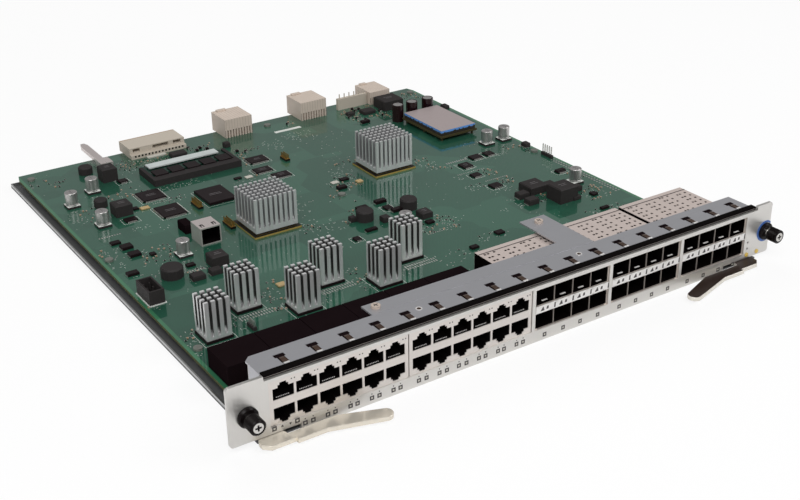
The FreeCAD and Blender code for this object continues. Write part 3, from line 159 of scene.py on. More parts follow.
class Graph:
    """One material's node tree."""

    def __init__(self, name: str) -> None:
        """Start an empty material."""
        self.material = bpy.data.materials.new(name)
        self.material.use_nodes = True
        self.tree = self.material.node_tree
        self.tree.nodes.clear()

    def node(self, kind: str, settings: dict | None = None, *values: object, output: int | str = 0,
             **named: object) -> Wire:
        """Add a node, set it up and link its inputs.

        Args:
            kind: the node's type.
            settings: its own properties, set first; "ramp" holds a colour ramp's stops.
            values: inputs by place.
            output: which output to give back.
            named: inputs by name, with _ for a space.

        Returns:
            The chosen output.
        """
        node = self.tree.nodes.new(kind)
        for key, value in (settings or {}).items():
            if key == "ramp":
                self.stops(node, value)
            else:
                setattr(node, key, value)
        for place, value in enumerate(values):
            self.feed(node.inputs[place], value)
        for name, value in named.items():
            self.feed(node.inputs[name.replace("_", " ")], value)
        return Wire(self, node.outputs[output])

    def stops(self, node: bpy.types.Node, stops: Sequence[tuple[float, Colour]]) -> None:
        """Set a colour ramp's stops."""
        elements = node.color_ramp.elements
        while len(elements) < len(stops):
            elements.new(0.5)
        for element, (position, colour) in zip(elements, stops):
            element.position = position
            element.color = (*colour, 1.0)

    def feed(self, socket: bpy.types.NodeSocket, value: object) -> None:
        """Link a wire to a socket, or set the socket's own value."""
        if isinstance(value, Wire):
            self.tree.links.new(value.socket, socket)
        elif isinstance(value, (tuple, list)) and len(value) == 3 and socket.type == "RGBA":
            socket.default_value = (*value, 1.0)
        elif value is not None:
            socket.default_value = value

    def place(self) -> Wire:
        """The point on the piece, in metres."""
        return self.node("ShaderNodeTexCoord", output="Object")

    def split(self, vector: Wire) -> tuple[Wire, Wire, Wire]:
        """A vector's x, y and z."""
        node = self.node("ShaderNodeSeparateXYZ", None, vector).socket.node
        return tuple(Wire(self, output) for output in node.outputs)

    def axes(self) -> tuple[Wire, Wire, Wire]:
        """The point's x, y and z."""
        return self.split(self.place())

    def facing(self) -> tuple[Wire, Wire, Wire]:
        """The surface normal's x, y and z."""
        return self.split(self.node("ShaderNodeNewGeometry", output="Normal"))

    def stretched(self, scale: Corner) -> Wire:
        """The point with each axis scaled, for grain that runs one way."""
        return self.node("ShaderNodeMapping", None, Vector=self.place(), Scale=scale)

    def noise(self, scale: float, detail: float = 2.0, at: Wire | None = None) -> Wire:
        """Soft noise between 0 and 1."""
        return self.node("ShaderNodeTexNoise", None, output="Fac", Vector=at or self.place(),
                         Scale=scale, Detail=detail)

    def cells(self, scale: float, at: Wire | None = None, output: str = "Distance",
              metric: str = "EUCLIDEAN") -> Wire:
        """Voronoi cells: the distance to the nearest point, or a colour for each cell."""
        settings = {"feature": "F1", "distance": metric}
        return self.node("ShaderNodeTexVoronoi", settings, output=output,
                         Vector=at or self.place(), Scale=scale)

    def blend(self, factor: Wire | float, first: object, second: object) -> Wire:
        """A colour between two, by a factor."""
        node = self.tree.nodes.new("ShaderNodeMix")
        node.data_type = "RGBA"
        self.feed(node.inputs["Factor"], factor)
        self.feed(node.inputs[MIX_FIRST], first)
        self.feed(node.inputs[MIX_SECOND], second)
        return Wire(self, node.outputs[MIX_COLOUR])

    def shaded(self, colour: object, contrast: float, amount: Wire) -> Wire:
        """A colour made darker and lighter by a share, as an amount runs from 0 to 1."""
        scale = (1.0 - contrast) + 2.0 * contrast * amount
        return self.node("ShaderNodeVectorMath", {"operation": "SCALE"}, colour, Scale=scale)

    def bump(self, height: Wire, strength: float, distance: float) -> Wire:
        """A normal from a height."""
        return self.node("ShaderNodeBump", None, Strength=strength, Distance=distance,
                         Height=height)

    def surface(self, **sockets: object) -> Material:
        """Finish the material with one Principled shader.

        Args:
            sockets: the shader's inputs by name, with _ for a space.

        Returns:
            The material.
        """
        return self.shown(self.node("ShaderNodeBsdfPrincipled", None, **sockets))

    def shown(self, shader: Wire) -> Material:
        """Finish the material with a shader."""
        output = self.tree.nodes.new("ShaderNodeOutputMaterial")
        self.tree.links.new(shader.socket, output.inputs["Surface"])
        return self.material


# ------------------------------------------------------------------ finishes
@dataclass(frozen=True)
class SheetMetal:
    """Rolled, plated or painted sheet, with a fine grain one way and a cloudy sheen."""

    name: str
    tint: Colour
    roughness: float = 0.35
    metallic: float = 1.0
    grain: Corner = (60.0, 900.0, 900.0)
    contrast: float = 0.12
    relief: float = 0.02

    def make(self) -> Material:
        """Build the material."""
        graph = Graph(self.name)
        cloud = graph.noise(35.0, 3.0)
        grain = graph.noise(1.0, 2.0, graph.stretched(self.grain))
        mixed = 0.6 * cloud + 0.4 * grain
        colour = graph.shaded(self.tint, self.contrast, mixed)
        roughness = self.roughness * (0.8 + 0.4 * grain)
        return graph.surface(Base_Color=colour, Roughness=roughness, Metallic=self.metallic,
                             Normal=graph.bump(grain, self.relief, 0.0002))


@dataclass(frozen=True)
class Moulding:
    """Moulded plastic or epoxy: an even colour, a fine pitted skin and a soft sheen."""

    name: str
    tint: Colour
    roughness: float = 0.5
    pits: float = 2600.0
    relief: float = 0.08
    contrast: float = 0.15
    coat: float = 0.0
    mirror: float = 0.5

    def make(self) -> Material:
        """Build the material."""
        graph = Graph(self.name)
        cloud = graph.noise(90.0, 2.0)
        pits = graph.noise(self.pits, 2.0)
        colour = graph.shaded(self.tint, self.contrast, cloud)
        roughness = self.roughness * (0.85 + 0.3 * pits)
        return graph.surface(Base_Color=colour, Roughness=roughness, Coat_Weight=self.coat,
                             Specular_IOR_Level=self.mirror, Coat_Roughness=0.1,
                             Normal=graph.bump(pits, self.relief, 0.0001))


@dataclass(frozen=True)
class Layer:
    """What a banded finish shows above a height."""

    height: float
    tint: Colour
    roughness: float
    metallic: float = 0.0
    upward_only: bool = False


@dataclass(frozen=True)
class Banded:
    """A piece whose colour changes with height, such as a can on its black base."""

    name: str
    tint: Colour
    roughness: float
    metallic: float = 0.0
    layers: tuple[Layer, ...] = ()
    contrast: float = 0.1
    mirror: float = 0.3

    def make(self) -> Material:
        """Build the material."""
        graph = Graph(self.name)
        height = graph.axes()[2]
        upward = graph.facing()[2].above(SQUARE_ON)
        colour: object = self.tint
        roughness: Wire | float = self.roughness
        metallic: Wire | float = self.metallic
        for layer in self.layers:
            mask = height.above(layer.height * MM)
            if layer.upward_only:
                mask = mask * upward
            colour = graph.blend(mask, colour, layer.tint)
            roughness = mask * layer.roughness + (1.0 - mask) * roughness
            metallic = mask * layer.metallic + (1.0 - mask) * metallic
        grain = graph.noise(700.0, 2.0)
        colour = graph.shaded(colour, self.contrast, grain)
        return graph.surface(Base_Color=colour, Roughness=roughness, Metallic=metallic,
                             Specular_IOR_Level=self.mirror, Normal=graph.bump(grain, 0.05, 0.0001))


@dataclass(frozen=True)
class SolderMask:
    """The board's glossy lacquer over copper: traces, tinned pads and a bare edge."""

    name: str
    mask: Colour = (0.010, 0.066, 0.040)
    copper: Colour = (0.030, 0.125, 0.078)
    rim: Colour = (0.05, 0.22, 0.10)
    edge: Colour = (0.10, 0.11, 0.05)
    tin: Colour = (0.62, 0.62, 0.58)
    rim_width: float = 2.4
    slant: float = 0.62

    def make(self) -> Material:
        """Build the material."""
        graph = Graph(self.name)
        area = graph.cells(26.0, output="Color", metric="CHEBYCHEV")
        pick = graph.node("ShaderNodeSeparateColor", None, area).socket.node
        poured = Wire(graph, pick.outputs[0]).above(0.72)
        lined = Wire(graph, pick.outputs[1]).above(0.45)
        slant = graph.node("ShaderNodeMapping", None, Vector=graph.place(),
                           Rotation=(0.0, 0.0, self.slant))
        lines = graph.node("ShaderNodeTexWave", {"wave_type": "BANDS"}, Vector=slant, Scale=330.0,
                           Distortion=0.0, output="Fac").above(0.62, 0.1)
        haze = graph.noise(9.0, 2.0)
        colour = graph.blend(0.55 * poured, self.mask, self.copper)
        colour = graph.blend(0.5 * haze, colour, self.copper)
        colour = graph.blend(0.4 * lined * lines, colour, self.copper)
        vias = graph.cells(230.0).below(0.07, 0.02)
        dense = graph.noise(24.0, 1.0).above(0.54, 0.03)
        colour = graph.blend(vias * dense * 0.7, colour, self.tin)
        low, high = corners("main_board")
        x = graph.axes()[0]
        inner = x.between((low.x + self.rim_width) * MM, (high.x - self.rim_width) * MM)
        colour = graph.blend(0.6 * (1.0 - inner), colour, self.rim)
        upward = graph.facing()[2].absolute().above(SQUARE_ON)
        colour = graph.blend(upward, self.edge, colour)
        relief = graph.bump(0.5 * poured + 0.5 * lined * lines, 0.03, 0.0001)
        return graph.surface(Base_Color=colour, Roughness=0.3, Coat_Weight=0.3 + 0.7 * upward,
                             Specular_IOR_Level=0.1, Coat_Roughness=0.012, Coat_IOR=1.68,
                             Normal=relief)


@dataclass(frozen=True)
class CageSheet:
    """Tin-plated sheet whose inside is dark, because little light gets in."""

    name: str
    nodes: tuple[str, ...]
    tint: Colour
    dark: Colour = (0.003, 0.002, 0.002)
    mouth: float = 0.7
    skin: float = 0.1
    top_depth: float = 33.8
    top_lap: float = 0.2
    wall: float = 2.0
    band: tuple[float, float] = (18.9, 24.1)

    def make(self) -> Material:
        """Build the material from the places of the cages' own walls."""
        graph = Graph(self.name)
        x, y, z = graph.axes()
        low, high = corners(self.nodes[0])
        inside = y.between((low.y + self.mouth) * MM, (high.y - self.skin) * MM)
        inside = inside * z.between((low.z + self.skin) * MM, (high.z - self.skin) * MM)
        # The cage's top under the holed sheet is painted dark too: painted shade seen through the
        # holes.
        top = z.above((high.z - self.skin) * MM) * y.above((high.y - self.top_depth) * MM)
        under_sheet = top * y.below((high.y - self.top_lap) * MM)
        inside = inside.maths("MAXIMUM", inside, under_sheet)
        grain = graph.noise(1.0, 2.0, graph.stretched(GRAIN_ALONG_Y))
        # The front faces between each cage's side walls, outside the middle band, are darkened
        # towards the cavity's black: painted shade.
        edges = 0.0
        for name in self.nodes:
            left, right = corners(name)
            edges = edges + x.between((left.x + self.wall) * MM, (right.x - self.wall) * MM)
        foot, head = self.band
        edges = 0.6 * edges * y.below((low.y + self.mouth) * MM)
        edges = edges * (1.0 - z.between(foot * MM, head * MM))
        colour = graph.blend(edges, graph.shaded(self.tint, 0.08, grain), self.dark)
        colour = graph.blend(inside, colour, self.dark)
        return graph.surface(Base_Color=colour, Roughness=0.34 + 0.4 * inside,
                             Metallic=0.55 * (1.0 - inside), Specular_IOR_Level=0.02,
                             Normal=graph.bump(grain, 0.02, 0.0002))


@dataclass(frozen=True)
class PinFins:
    """Bright cast pins with the shade of the gaps between them."""

    name: str
    nodes: tuple[str, ...]
    tint: Colour
    shade: Colour = (0.055, 0.05, 0.05)
    solid_foot: float = 2.6
    tip: float = 1.4
    fade_foot: float = 2.5
    fade_tip: float = 1.2
    skin: float = 0.1
    outer: float = 0.4
    upright: float = 0.7

    def make(self) -> Material:
        """Build the material from the places of the sinks."""
        graph = Graph(self.name)
        x, y, z = graph.axes()
        across, along, _ = graph.facing()
        across = across.absolute().above(self.upright)
        along = along.absolute().above(self.upright)
        gap: Wire | float = 0.0
        for name in self.nodes:
            low, high = corners(name)
            here = x.between((low.x - self.skin) * MM, (high.x + self.skin) * MM)
            here = here * y.between((low.y - self.skin) * MM, (high.y + self.skin) * MM)
            inner_x = x.between((low.x + self.outer) * MM, (high.x - self.outer) * MM)
            inner_y = y.between((low.y + self.outer) * MM, (high.y - self.outer) * MM)
            gap = gap + here * (inner_x * across + inner_y * along)
        gap = gap * z.above((low.z + self.solid_foot) * MM, self.fade_foot * MM)
        gap = gap * z.below((high.z - self.tip) * MM, self.fade_tip * MM)
        grain = graph.noise(1.0, 2.0, graph.stretched((420.0, 420.0, 30.0)))
        colour = graph.blend(0.94 * gap, graph.shaded(self.tint, 0.14, grain), self.shade)
        return graph.surface(Base_Color=colour, Roughness=0.36, Metallic=0.62,
                             Normal=graph.bump(grain, 0.06, 0.0002))


@dataclass(frozen=True)
class ConverterPlate:
    """A grey top plate with a blue rim; below the rim the side is dark with bright notches."""

    name: str
    top: Colour = (0.46, 0.39, 0.385)
    rim: Colour = (0.13, 0.33, 0.78)
    side: Colour = (0.03, 0.022, 0.015)
    rim_height: float = 15.1
    notch_height: float = 0.7

    def make(self) -> Material:
        """Build the material."""
        graph = Graph(self.name)
        x, y, z = graph.axes()
        upward = graph.facing()[2].above(SQUARE_ON)
        along = graph.node("ShaderNodeTexNoise", {"noise_dimensions": "1D"}, W=x + y,
                           Scale=260.0, Detail=1.0, output="Fac")
        tooth = along.above(0.52, 0.02)
        notch_top = self.rim_height + self.notch_height
        edge = z.above(self.rim_height * MM) * (1.0 - tooth * z.below(notch_top * MM))
        colour = graph.blend(edge, self.side, self.rim)
        grain = graph.noise(500.0, 3.0)
        colour = graph.blend(upward, colour, graph.shaded(self.top, 0.06, grain))
        return graph.surface(Base_Color=colour, Roughness=0.42, Metallic=0.25 * upward,
                             Normal=graph.bump(grain, 0.04, 0.0001))


@dataclass(frozen=True)
class SeamedMoulding:
    """A connector of thin wafers side by side: fine seams run up its front and over its top."""

    name: str
    tint: Colour = (0.66, 0.56, 0.48)
    seam: Colour = (0.26, 0.22, 0.17)
    pin: Colour = (0.16, 0.09, 0.04)
    # The colour of the painted shade in the slots.
    dark: Colour = (0.035, 0.028, 0.020)
    wafers: int = 9
    slot_share: float = 0.45
    slot_height: float = 6.7
    margin: float = 1.0
    nodes: tuple[str, ...] = CONNECTORS

    def make(self) -> Material:
        """Build the material from the places of the connectors."""
        graph = Graph(self.name)
        x, _, z = graph.axes()
        seam: Wire | float = 0.0
        slot: Wire | float = 0.0
        pin: Wire | float = 0.0
        for name in self.nodes:
            low, high = corners(name)
            within = x.between(low.x * MM, high.x * MM)
            step = (high.x - low.x - 2 * self.margin) / self.wafers
            phase = x.maths("FRACT", (x - (low.x + self.margin) * MM) / (step * MM))
            seam = seam + within * phase.between(0.02, 0.11, 0.02)
            half = self.slot_share / 2
            slot = slot + within * phase.between(0.5 - half, 0.5 + half, 0.03)
            pin = pin + within * phase.between(0.44, 0.56, 0.03)
        foot = z.below((low.z + self.slot_height) * MM)
        front = 1.0 - graph.facing()[1].above(-SQUARE_ON)
        sideways = graph.facing()[0].absolute().above(SQUARE_ON)
        fine = graph.noise(1500.0, 2.0)
        colour = graph.blend(0.7 * seam * (1.0 - sideways), self.tint, self.seam)
        # Dark slots at the foot of the front, each with a pin, stand for the connector's openings:
        # painted shade.
        colour = graph.blend(slot * foot * front, colour, self.dark)
        colour = graph.blend(pin * foot * front, colour, self.pin)
        colour = graph.shaded(colour, 0.07, graph.noise(120.0, 2.0))
        return graph.surface(Base_Color=colour, Roughness=0.5, Specular_IOR_Level=0.35,
                             Normal=graph.bump(fine - 3.0 * seam * (1.0 - sideways), 0.1, 0.0001))


class Finish(Enum):
    """Every finish on the card."""

    PANEL = SheetMetal("panel_satin", (0.77, 0.75, 0.72), 0.36, 0.85, (900.0, 900.0, 60.0), 0.06)
    BRACKET = SheetMetal("bracket_satin", (0.58, 0.58, 0.61), 0.42, 0.8, (50.0, 900.0, 900.0), 0.05)
    PLATED = SheetMetal("tin_plate", (0.80, 0.75, 0.71), 0.34, 0.85, GRAIN_ALONG_Y, 0.08)
    CAGE = CageSheet("cage_sheet", CAGES, (0.88, 0.78, 0.71))
    ALUMINIUM = SheetMetal("drawn_aluminium", (0.60, 0.58, 0.57), 0.36, 0.9,
                           (900.0, 900.0, 40.0), 0.08, 0.03)
    # The tray is one folded sheet. Below 1.4 mm it is painted dark grey as the shade on its floor
    # and along its walls; only the wall tops keep the bright metal.
    TRAY = Banded("tray_sheet", (0.17, 0.17, 0.175), 0.5, 0.5, (
        Layer(1.4, (0.62, 0.62, 0.62), 0.3, 1.0),))
    LEVER = SheetMetal("polished_steel", (0.93, 0.86, 0.74), 0.22, 0.55,
                       (90.0, 90.0, 90.0), 0.05, 0.01)
    # The right lever is the same steel as the left one; its upward faces are painted near black as
    # a painted reflection of the dark surroundings.
    LEVER_PAINTED_REFLECTION = Banded("steel_painted_reflection", (0.90, 0.86, 0.78), 0.25, 0.35, (
        Layer(-20.0, (0.030, 0.018, 0.014), 0.3, upward_only=True),))
    BIG_FINS = PinFins("big_fins", BIG_SINKS, (0.88, 0.88, 0.88), (0.36, 0.36, 0.37))
    TOP_SHEET = SheetMetal("top_sheet", (0.62, 0.53, 0.49), 0.45, 0.2, GRAIN_ALONG_Y, 0.06)
    FINS = PinFins("pin_fins", SMALL_SINKS, (0.90, 0.90, 0.90))
    SCREW = SheetMetal("zinc_screw", (0.72, 0.70, 0.67), 0.22, 1.0, GRAIN_EVEN, 0.08)
    GOLD = SheetMetal("gold_plate", (0.72, 0.50, 0.18), 0.28, 1.0, GRAIN_FINE, 0.10)
    TIN = SheetMetal("tinned_pad", (0.75, 0.74, 0.70), 0.30, 0.9, GRAIN_FINE, 0.10)
    KNOB = Moulding("gloss_black", (0.006, 0.004, 0.004), 0.25, 900.0, 0.02, 0.1, 0.08, 0.1)
    BLACK = Moulding("black_moulding", (0.006, 0.004, 0.005), 0.45, mirror=0.0)
    # Black resin, and also painted shade in the bracket's slots and partly in the strip on its
    # front edge.
    BRICK = Moulding("black_resin_and_shade", (0.010, 0.006, 0.007), 0.6, mirror=0.0)
    # Black moulding, and also painted shade in the rear connector's openings and on the wires deep
    # in the ports.
    CAVITY = Moulding("port_black_and_shade", (0.003, 0.002, 0.002), 0.6, mirror=0.1)
    PIN_STRIP = Banded("pin_strip", (0.008, 0.006, 0.004), 0.45, 0.0, (
        Layer(9.75, (0.42, 0.29, 0.10), 0.35, 0.9),))
    ROSE = SheetMetal("shell_plate", (0.80, 0.72, 0.70), 0.3, 0.7, GRAIN_ALONG_Y, 0.05)
    MODULE = Moulding("module_lacquer", (0.006, 0.030, 0.020), 0.3, mirror=0.3)
    LABEL = Moulding("label_stock", (0.56, 0.60, 0.59), 0.55, mirror=0.2)
    DULL = SheetMetal("dull_zinc", (0.30, 0.31, 0.28), 0.5, 0.7, GRAIN_FINE, 0.1)
    EPOXY = Moulding("chip_epoxy", (0.012, 0.007, 0.008), 0.32, mirror=0.1)
    # Black foam; the thin grey band from 38.45 to 38.8 mm is a painted highlight along the strip.
    FOAM = Banded("foam_with_painted_highlight", (0.010, 0.009, 0.008), 0.8, 0.0, (
        Layer(38.45, (0.24, 0.22, 0.21), 0.5, 0.4),
        Layer(38.8, (0.006, 0.005, 0.005), 0.8)), mirror=0.0)
    BLUE = Moulding("blue_paint", (0.06, 0.16, 0.50), 0.4)
    BEIGE = Moulding("beige_moulding", (0.66, 0.57, 0.48), 0.45, 2200.0, 0.05)
    SLEEVE_SKIN = Moulding("capacitor_sleeve", (0.016, 0.005, 0.006), 0.2, 700.0, 0.02, 0.1,
                           0.15, 0.3)
    PACKAGE = Banded("switch_package", (0.50, 0.36, 0.10), 0.35, 0.3, (
        Layer(8.1, (0.014, 0.012, 0.008), 0.5, upward_only=True),
        Layer(9.3, (0.012, 0.010, 0.010), 0.4)))
    CONVERTER = ConverterPlate("converter_plate")
    CONNECTOR = SeamedMoulding("connector_wafers")
    CONVERTER_BOARD = Banded("converter_board", (0.06, 0.05, 0.02), 0.4, 0.0)
    LIGHT = Moulding("light_lens", (0.80, 0.55, 0.10), 0.2, 900.0, 0.02, 0.1, 0.5)
    # Dark print, and also painted shade where it stands for the vent groove, screw recesses, band
    # openings and the cage tops' rear fold.
    DARK_PRINT_AND_SHADE = Moulding("dark_print_and_shade", (0.045, 0.038, 0.040), 0.5)
    PRINT_GREY = Moulding("grey_print", (0.16, 0.15, 0.155), 0.5)
    SCREW_HEAD = SheetMetal("screw_head", (0.62, 0.52, 0.45), 0.7, 0.3, GRAIN_EVEN, 0.1)
    SPRING = SheetMetal("spring_leaf", (0.20, 0.13, 0.10), 0.2, 1.0, GRAIN_EVEN, 0.1)
    # Bright metal, and also a painted highlight on the curled ends of the bracket's spring leaves.
    BRIGHT = SheetMetal("bright_metal_and_highlight", (0.90, 0.88, 0.86), 0.3, 0.5, GRAIN_EVEN, 0.05)
    GOLDEN = Moulding("golden_ceramic", (0.50, 0.36, 0.17), 0.35)
    PALE = Moulding("pale_ceramic", (0.55, 0.53, 0.47), 0.4)
    # White print, and also a painted highlight on the raised tops of the can bases.
    WHITE_PRINT_AND_HIGHLIGHT = Moulding("white_print_and_highlight", (0.72, 0.74, 0.70), 0.5)
    TAN = Moulding("tan_ceramic", (0.40, 0.26, 0.16), 0.4)
    BOARD = SolderMask("solder_mask")

    def material(self) -> Material:
        """The finish's material, built on first use."""
        return bpy.data.materials.get(self.value.name) or self.value.make()


NODE_FINISHES: dict[Finish, tuple[str, ...]] = {
    Finish.PANEL: ("front_panel",),
    Finish.BRACKET: ("top_bracket",),
    Finish.PLATED: (*JACKS, "cage_strips"),
    Finish.ROSE: ("stacked_jack", "guide_bar", "guide_block"),
    Finish.CAGE: CAGES,
    Finish.TRAY: ("tray",),
    Finish.LEVER: ("left_lever",),
    Finish.LEVER_PAINTED_REFLECTION: ("right_lever",),
    Finish.FINS: SMALL_SINKS,
    Finish.BIG_FINS: BIG_SINKS,
    Finish.DULL: ("board_screws",),
    Finish.SCREW_HEAD: ("bracket_screws",),
    Finish.SCREW: ("board_standoffs", "bracket_posts", "lever_pins", "screw_springs",
                   "left_captive_screw", "right_captive_screw", "left_screw_ring",
                   "right_screw_ring"),
    Finish.PIN_STRIP: ("pin_strips",),
    Finish.KNOB: ("left_knob", "right_knob", "screw_ferrules"),
    Finish.BRICK: ("magnetics_modules",),
    Finish.BLACK: ("power_inductors", "round_inductors", "box_header", "memory_socket"),
    Finish.CAVITY: ("left_jack_housing", "right_jack_housing"),
    Finish.EPOXY: ("port_chips", "logic_chips"),
    Finish.FOAM: ("panel_gasket",),
    Finish.BLUE: ("blue_ring",),
    Finish.CONNECTOR: CONNECTORS,
    Finish.BEIGE: ("power_connector", "pin_header"),
    Finish.ALUMINIUM: ("can_capacitors",),
    Finish.SLEEVE_SKIN: ("sleeved_capacitors",),
    Finish.PACKAGE: ("switch_chips",),
    Finish.CONVERTER: ("converter_cover",),
    Finish.CONVERTER_BOARD: ("converter_board",),
    Finish.LIGHT: ("status_lights",),
    Finish.BOARD: ("main_board",),
    Finish.MODULE: ("memory_module",),
}


# ------------------------------------------------------------------ modelling by hand operators
class Bench:
    """The few operators that every piece is made with."""

    @staticmethod
    def clear() -> None:
        """Deselect everything."""
        bpy.ops.object.select_all(action="DESELECT")

    @staticmethod
    def only(piece: Piece) -> None:
        """Select one object alone and make it active."""
        Bench.clear()
        piece.select_set(True)
        bpy.context.view_layer.objects.active = piece

    @staticmethod
    def block(name: str, low: Corner, high: Corner) -> Piece:
        """A box between two corners, in millimetres, with its place in its mesh."""
        Bench.clear()
        centre = [(a + b) / 2 * MM for a, b in zip(low, high)]
        size = [(b - a) * MM for a, b in zip(low, high)]
        bpy.ops.mesh.primitive_cube_add(size=1.0, location=centre, scale=size)
        piece = bpy.context.active_object
        piece.name = name
        bpy.ops.object.transform_apply(location=True, rotation=True, scale=True)
        return piece

    @staticmethod
    def drum(name: str, start: Corner, radius: float, height: float, sides: int = 24) -> Piece:
        """An upright cylinder from its lowest centre, in millimetres."""
        Bench.clear()
        middle = [start[0] * MM, start[1] * MM, (start[2] + height / 2) * MM]
        bpy.ops.mesh.primitive_cylinder_add(vertices=sides, radius=radius * MM,
                                            depth=height * MM, location=middle)
        piece = bpy.context.active_object
        piece.name = name
        bpy.ops.object.transform_apply(location=True, rotation=True, scale=True)
        return piece

    @staticmethod
    def edit(piece: Piece, wanted: Wanted) -> None:
        """Open a piece for editing with the wanted faces selected."""
        Bench.only(piece)
        bpy.ops.object.mode_set(mode="EDIT")
        bpy.ops.mesh.select_mode(type="FACE")
        bpy.ops.mesh.select_all(action="DESELECT")
        bpy.ops.object.mode_set(mode="OBJECT")
        for face in piece.data.polygons:
            face.select = wanted(face)
        bpy.ops.object.mode_set(mode="EDIT")

    @staticmethod
    def done() -> None:
        """Close the piece that is open for editing."""
        bpy.ops.object.mode_set(mode="OBJECT")

    @staticmethod
    def extrude(piece: Piece, wanted: Wanted, step: Corner,
                scale: Corner | None = None) -> None:
        """Pull the wanted faces out by a step in millimetres, and scale them about their middle."""
        Bench.edit(piece, wanted)
        move = {"value": [part * MM for part in step]}
        bpy.ops.mesh.extrude_region_move(TRANSFORM_OT_translate=move)
        if scale:
            bpy.ops.transform.resize(value=scale)
        Bench.done()

    @staticmethod
    def inset(piece: Piece, wanted: Wanted, width: float,
              depth: float = 0.0) -> None:
        """Inset the wanted faces, in millimetres."""
        Bench.edit(piece, wanted)
        bpy.ops.mesh.inset(thickness=width * MM, depth=depth * MM)
        Bench.done()

    @staticmethod
    def soften(piece: Piece, width: float, segments: int = 2) -> None:
        """Round a piece's sharp edges."""
        Bench.only(piece)
        modifier = piece.modifiers.new("Soften", "BEVEL")
        modifier.width = width * MM
        modifier.segments = segments
        modifier.limit_method = "ANGLE"
        bpy.ops.object.modifier_apply(modifier=modifier.name)

    @staticmethod
    def smooth(piece: Piece, degrees: float) -> None:
        """Shade a piece smooth where its faces meet at less than an angle."""
        Bench.only(piece)
        bpy.ops.object.shade_smooth_by_angle(angle=math.radians(degrees))

    @staticmethod
    def thicken(piece: Piece, wall: float) -> None:
        """Give a sheet its wall, in millimetres, below its face."""
        Bench.only(piece)
        modifier = piece.modifiers.new("Wall", "SOLIDIFY")
        modifier.thickness = wall * MM
        modifier.offset = -1.0
        bpy.ops.object.modifier_apply(modifier=modifier.name)

    @staticmethod
    def outward(piece: Piece) -> None:
        """Turn all faces outwards."""
        Bench.edit(piece, lambda face: True)
        bpy.ops.mesh.normals_make_consistent(inside=False)
        Bench.done()

    @staticmethod
    def finish(piece: Piece, *finishes: Finish) -> Piece:
        """Give a piece its finishes, one for each material slot."""
        piece.data.materials.clear()
        for one in finishes:
            piece.data.materials.append(one.material())
        return piece

    @staticmethod
    def tile(name: str, low: Corner, high: Corner, rim: float, rise: float, *finishes: Finish,
             side: Wanted | None = None) -> Piece:
        """A box whose upper side, or another one, is inset by a rim and then raised or sunk."""
        piece = Bench.block(name, low, high)
        Bench.inset(piece, side or faces_up, rim, rise)
        return Bench.finish(piece, *finishes)

    @staticmethod
    def paint(piece: Piece, wanted: Wanted, index: int) -> None:
        """Put the wanted faces in another material slot."""
        for face in piece.data.polygons:
            if wanted(face):
                face.material_index = index

    @staticmethod
    def copies(name: str, master: Piece, places: Iterable[Matrix]) -> Piece:
        """Copy a master to each place, each copy with its own mesh, and join them as one piece.

        Args:
            name: the joined piece's name.
            master: the piece that is modelled once; it is deleted afterwards.
            places: where each copy goes, in metres.

        Returns:
            The joined piece.
        """
        made = []
        for place in places:
            one = master.copy()
            one.data = master.data.copy()
            one.data.transform(place)
            bpy.context.scene.collection.objects.link(one)
            made.append(one)
        bpy.data.objects.remove(master)
        return Bench.join(name, made)

    @staticmethod
    def join(name: str, members: Sequence[Piece]) -> Piece:
        """Join several objects as one piece."""
        Bench.clear()
        for one in members:
            one.select_set(True)
        bpy.context.view_layer.objects.active = members[0]
        if len(members) > 1:
            bpy.ops.object.join()
        piece = bpy.context.active_object
        piece.name = name
        return piece

    @staticmethod
    def deliver(piece: Piece, body: str = BODY) -> None:
        """Make a finished piece ride on a body, and report it."""
        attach(piece, body)
        log.info("%s: %d faces", piece.name, len(piece.data.polygons))


def at(x: float, y: float, z: float, turn: float = 0.0) -> Matrix:
    """A place in millimetres with a turn about Z in degrees."""
    return Matrix.Translation(Vector((x, y, z)) * MM) @ Matrix.Rotation(math.radians(turn), 4, "Z")


def board_top() -> float:
    """How high the board's upper face lies, in millimetres."""
    return corners("main_board")[1].z


def corners(node: str) -> tuple[Vector, Vector]:
    """A node's lowest and highest corners, in millimetres."""
    low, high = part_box(node)
    return low / MM, high / MM


def solids(node: str) -> list[tuple[Vector, Vector]]:
    """The corners of each separate solid in a node, in millimetres, by shared corner points."""
    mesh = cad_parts[node].data
    owner: dict[tuple[int, int, int], int] = {}
    parent = list(range(len(mesh.polygons)))

    def root(index: int) -> int:
        """The group that a face belongs to."""
        while parent[index] != index:
            parent[index] = parent[parent[index]]
            index = parent[index]
        return index

    for face in mesh.polygons:
        for vertex in face.vertices:
            key = tuple(round(part * MICRONS) for part in mesh.vertices[vertex].co)
            if key in owner:
                parent[root(face.index)] = root(owner[key])
            owner[key] = face.index
    groups: dict[int, list[Vector]] = {}
    for face in mesh.polygons:
        group = groups.setdefault(root(face.index), [])
        group.extend(mesh.vertices[vertex].co for vertex in face.vertices)
    return [tuple(Vector(pick(point[axis] for point in points) for axis in range(3)) / MM
                  for pick in (min, max)) for points in groups.values()]


def faces_up(face: Face) -> bool:
    """Whether a face looks up."""
    return face.normal.z > SQUARE_ON


def faces_front(face: Face) -> bool:
    """Whether a face looks to the front."""
    return face.normal.y < -SQUARE_ON


def faces_rear(face: Face) -> bool:
    """Whether a face looks to the rear."""
    return face.normal.y > SQUARE_ON


# ------------------------------------------------------------------ small parts on the board
@dataclass(frozen=True)
class Patch:
    """A stretch of board that holds scattered small parts or printed dashes, in millimetres."""

    x: float
    y: float
    width: float
    depth: float
    count: int
    kinds: str = "rcrcpdd"


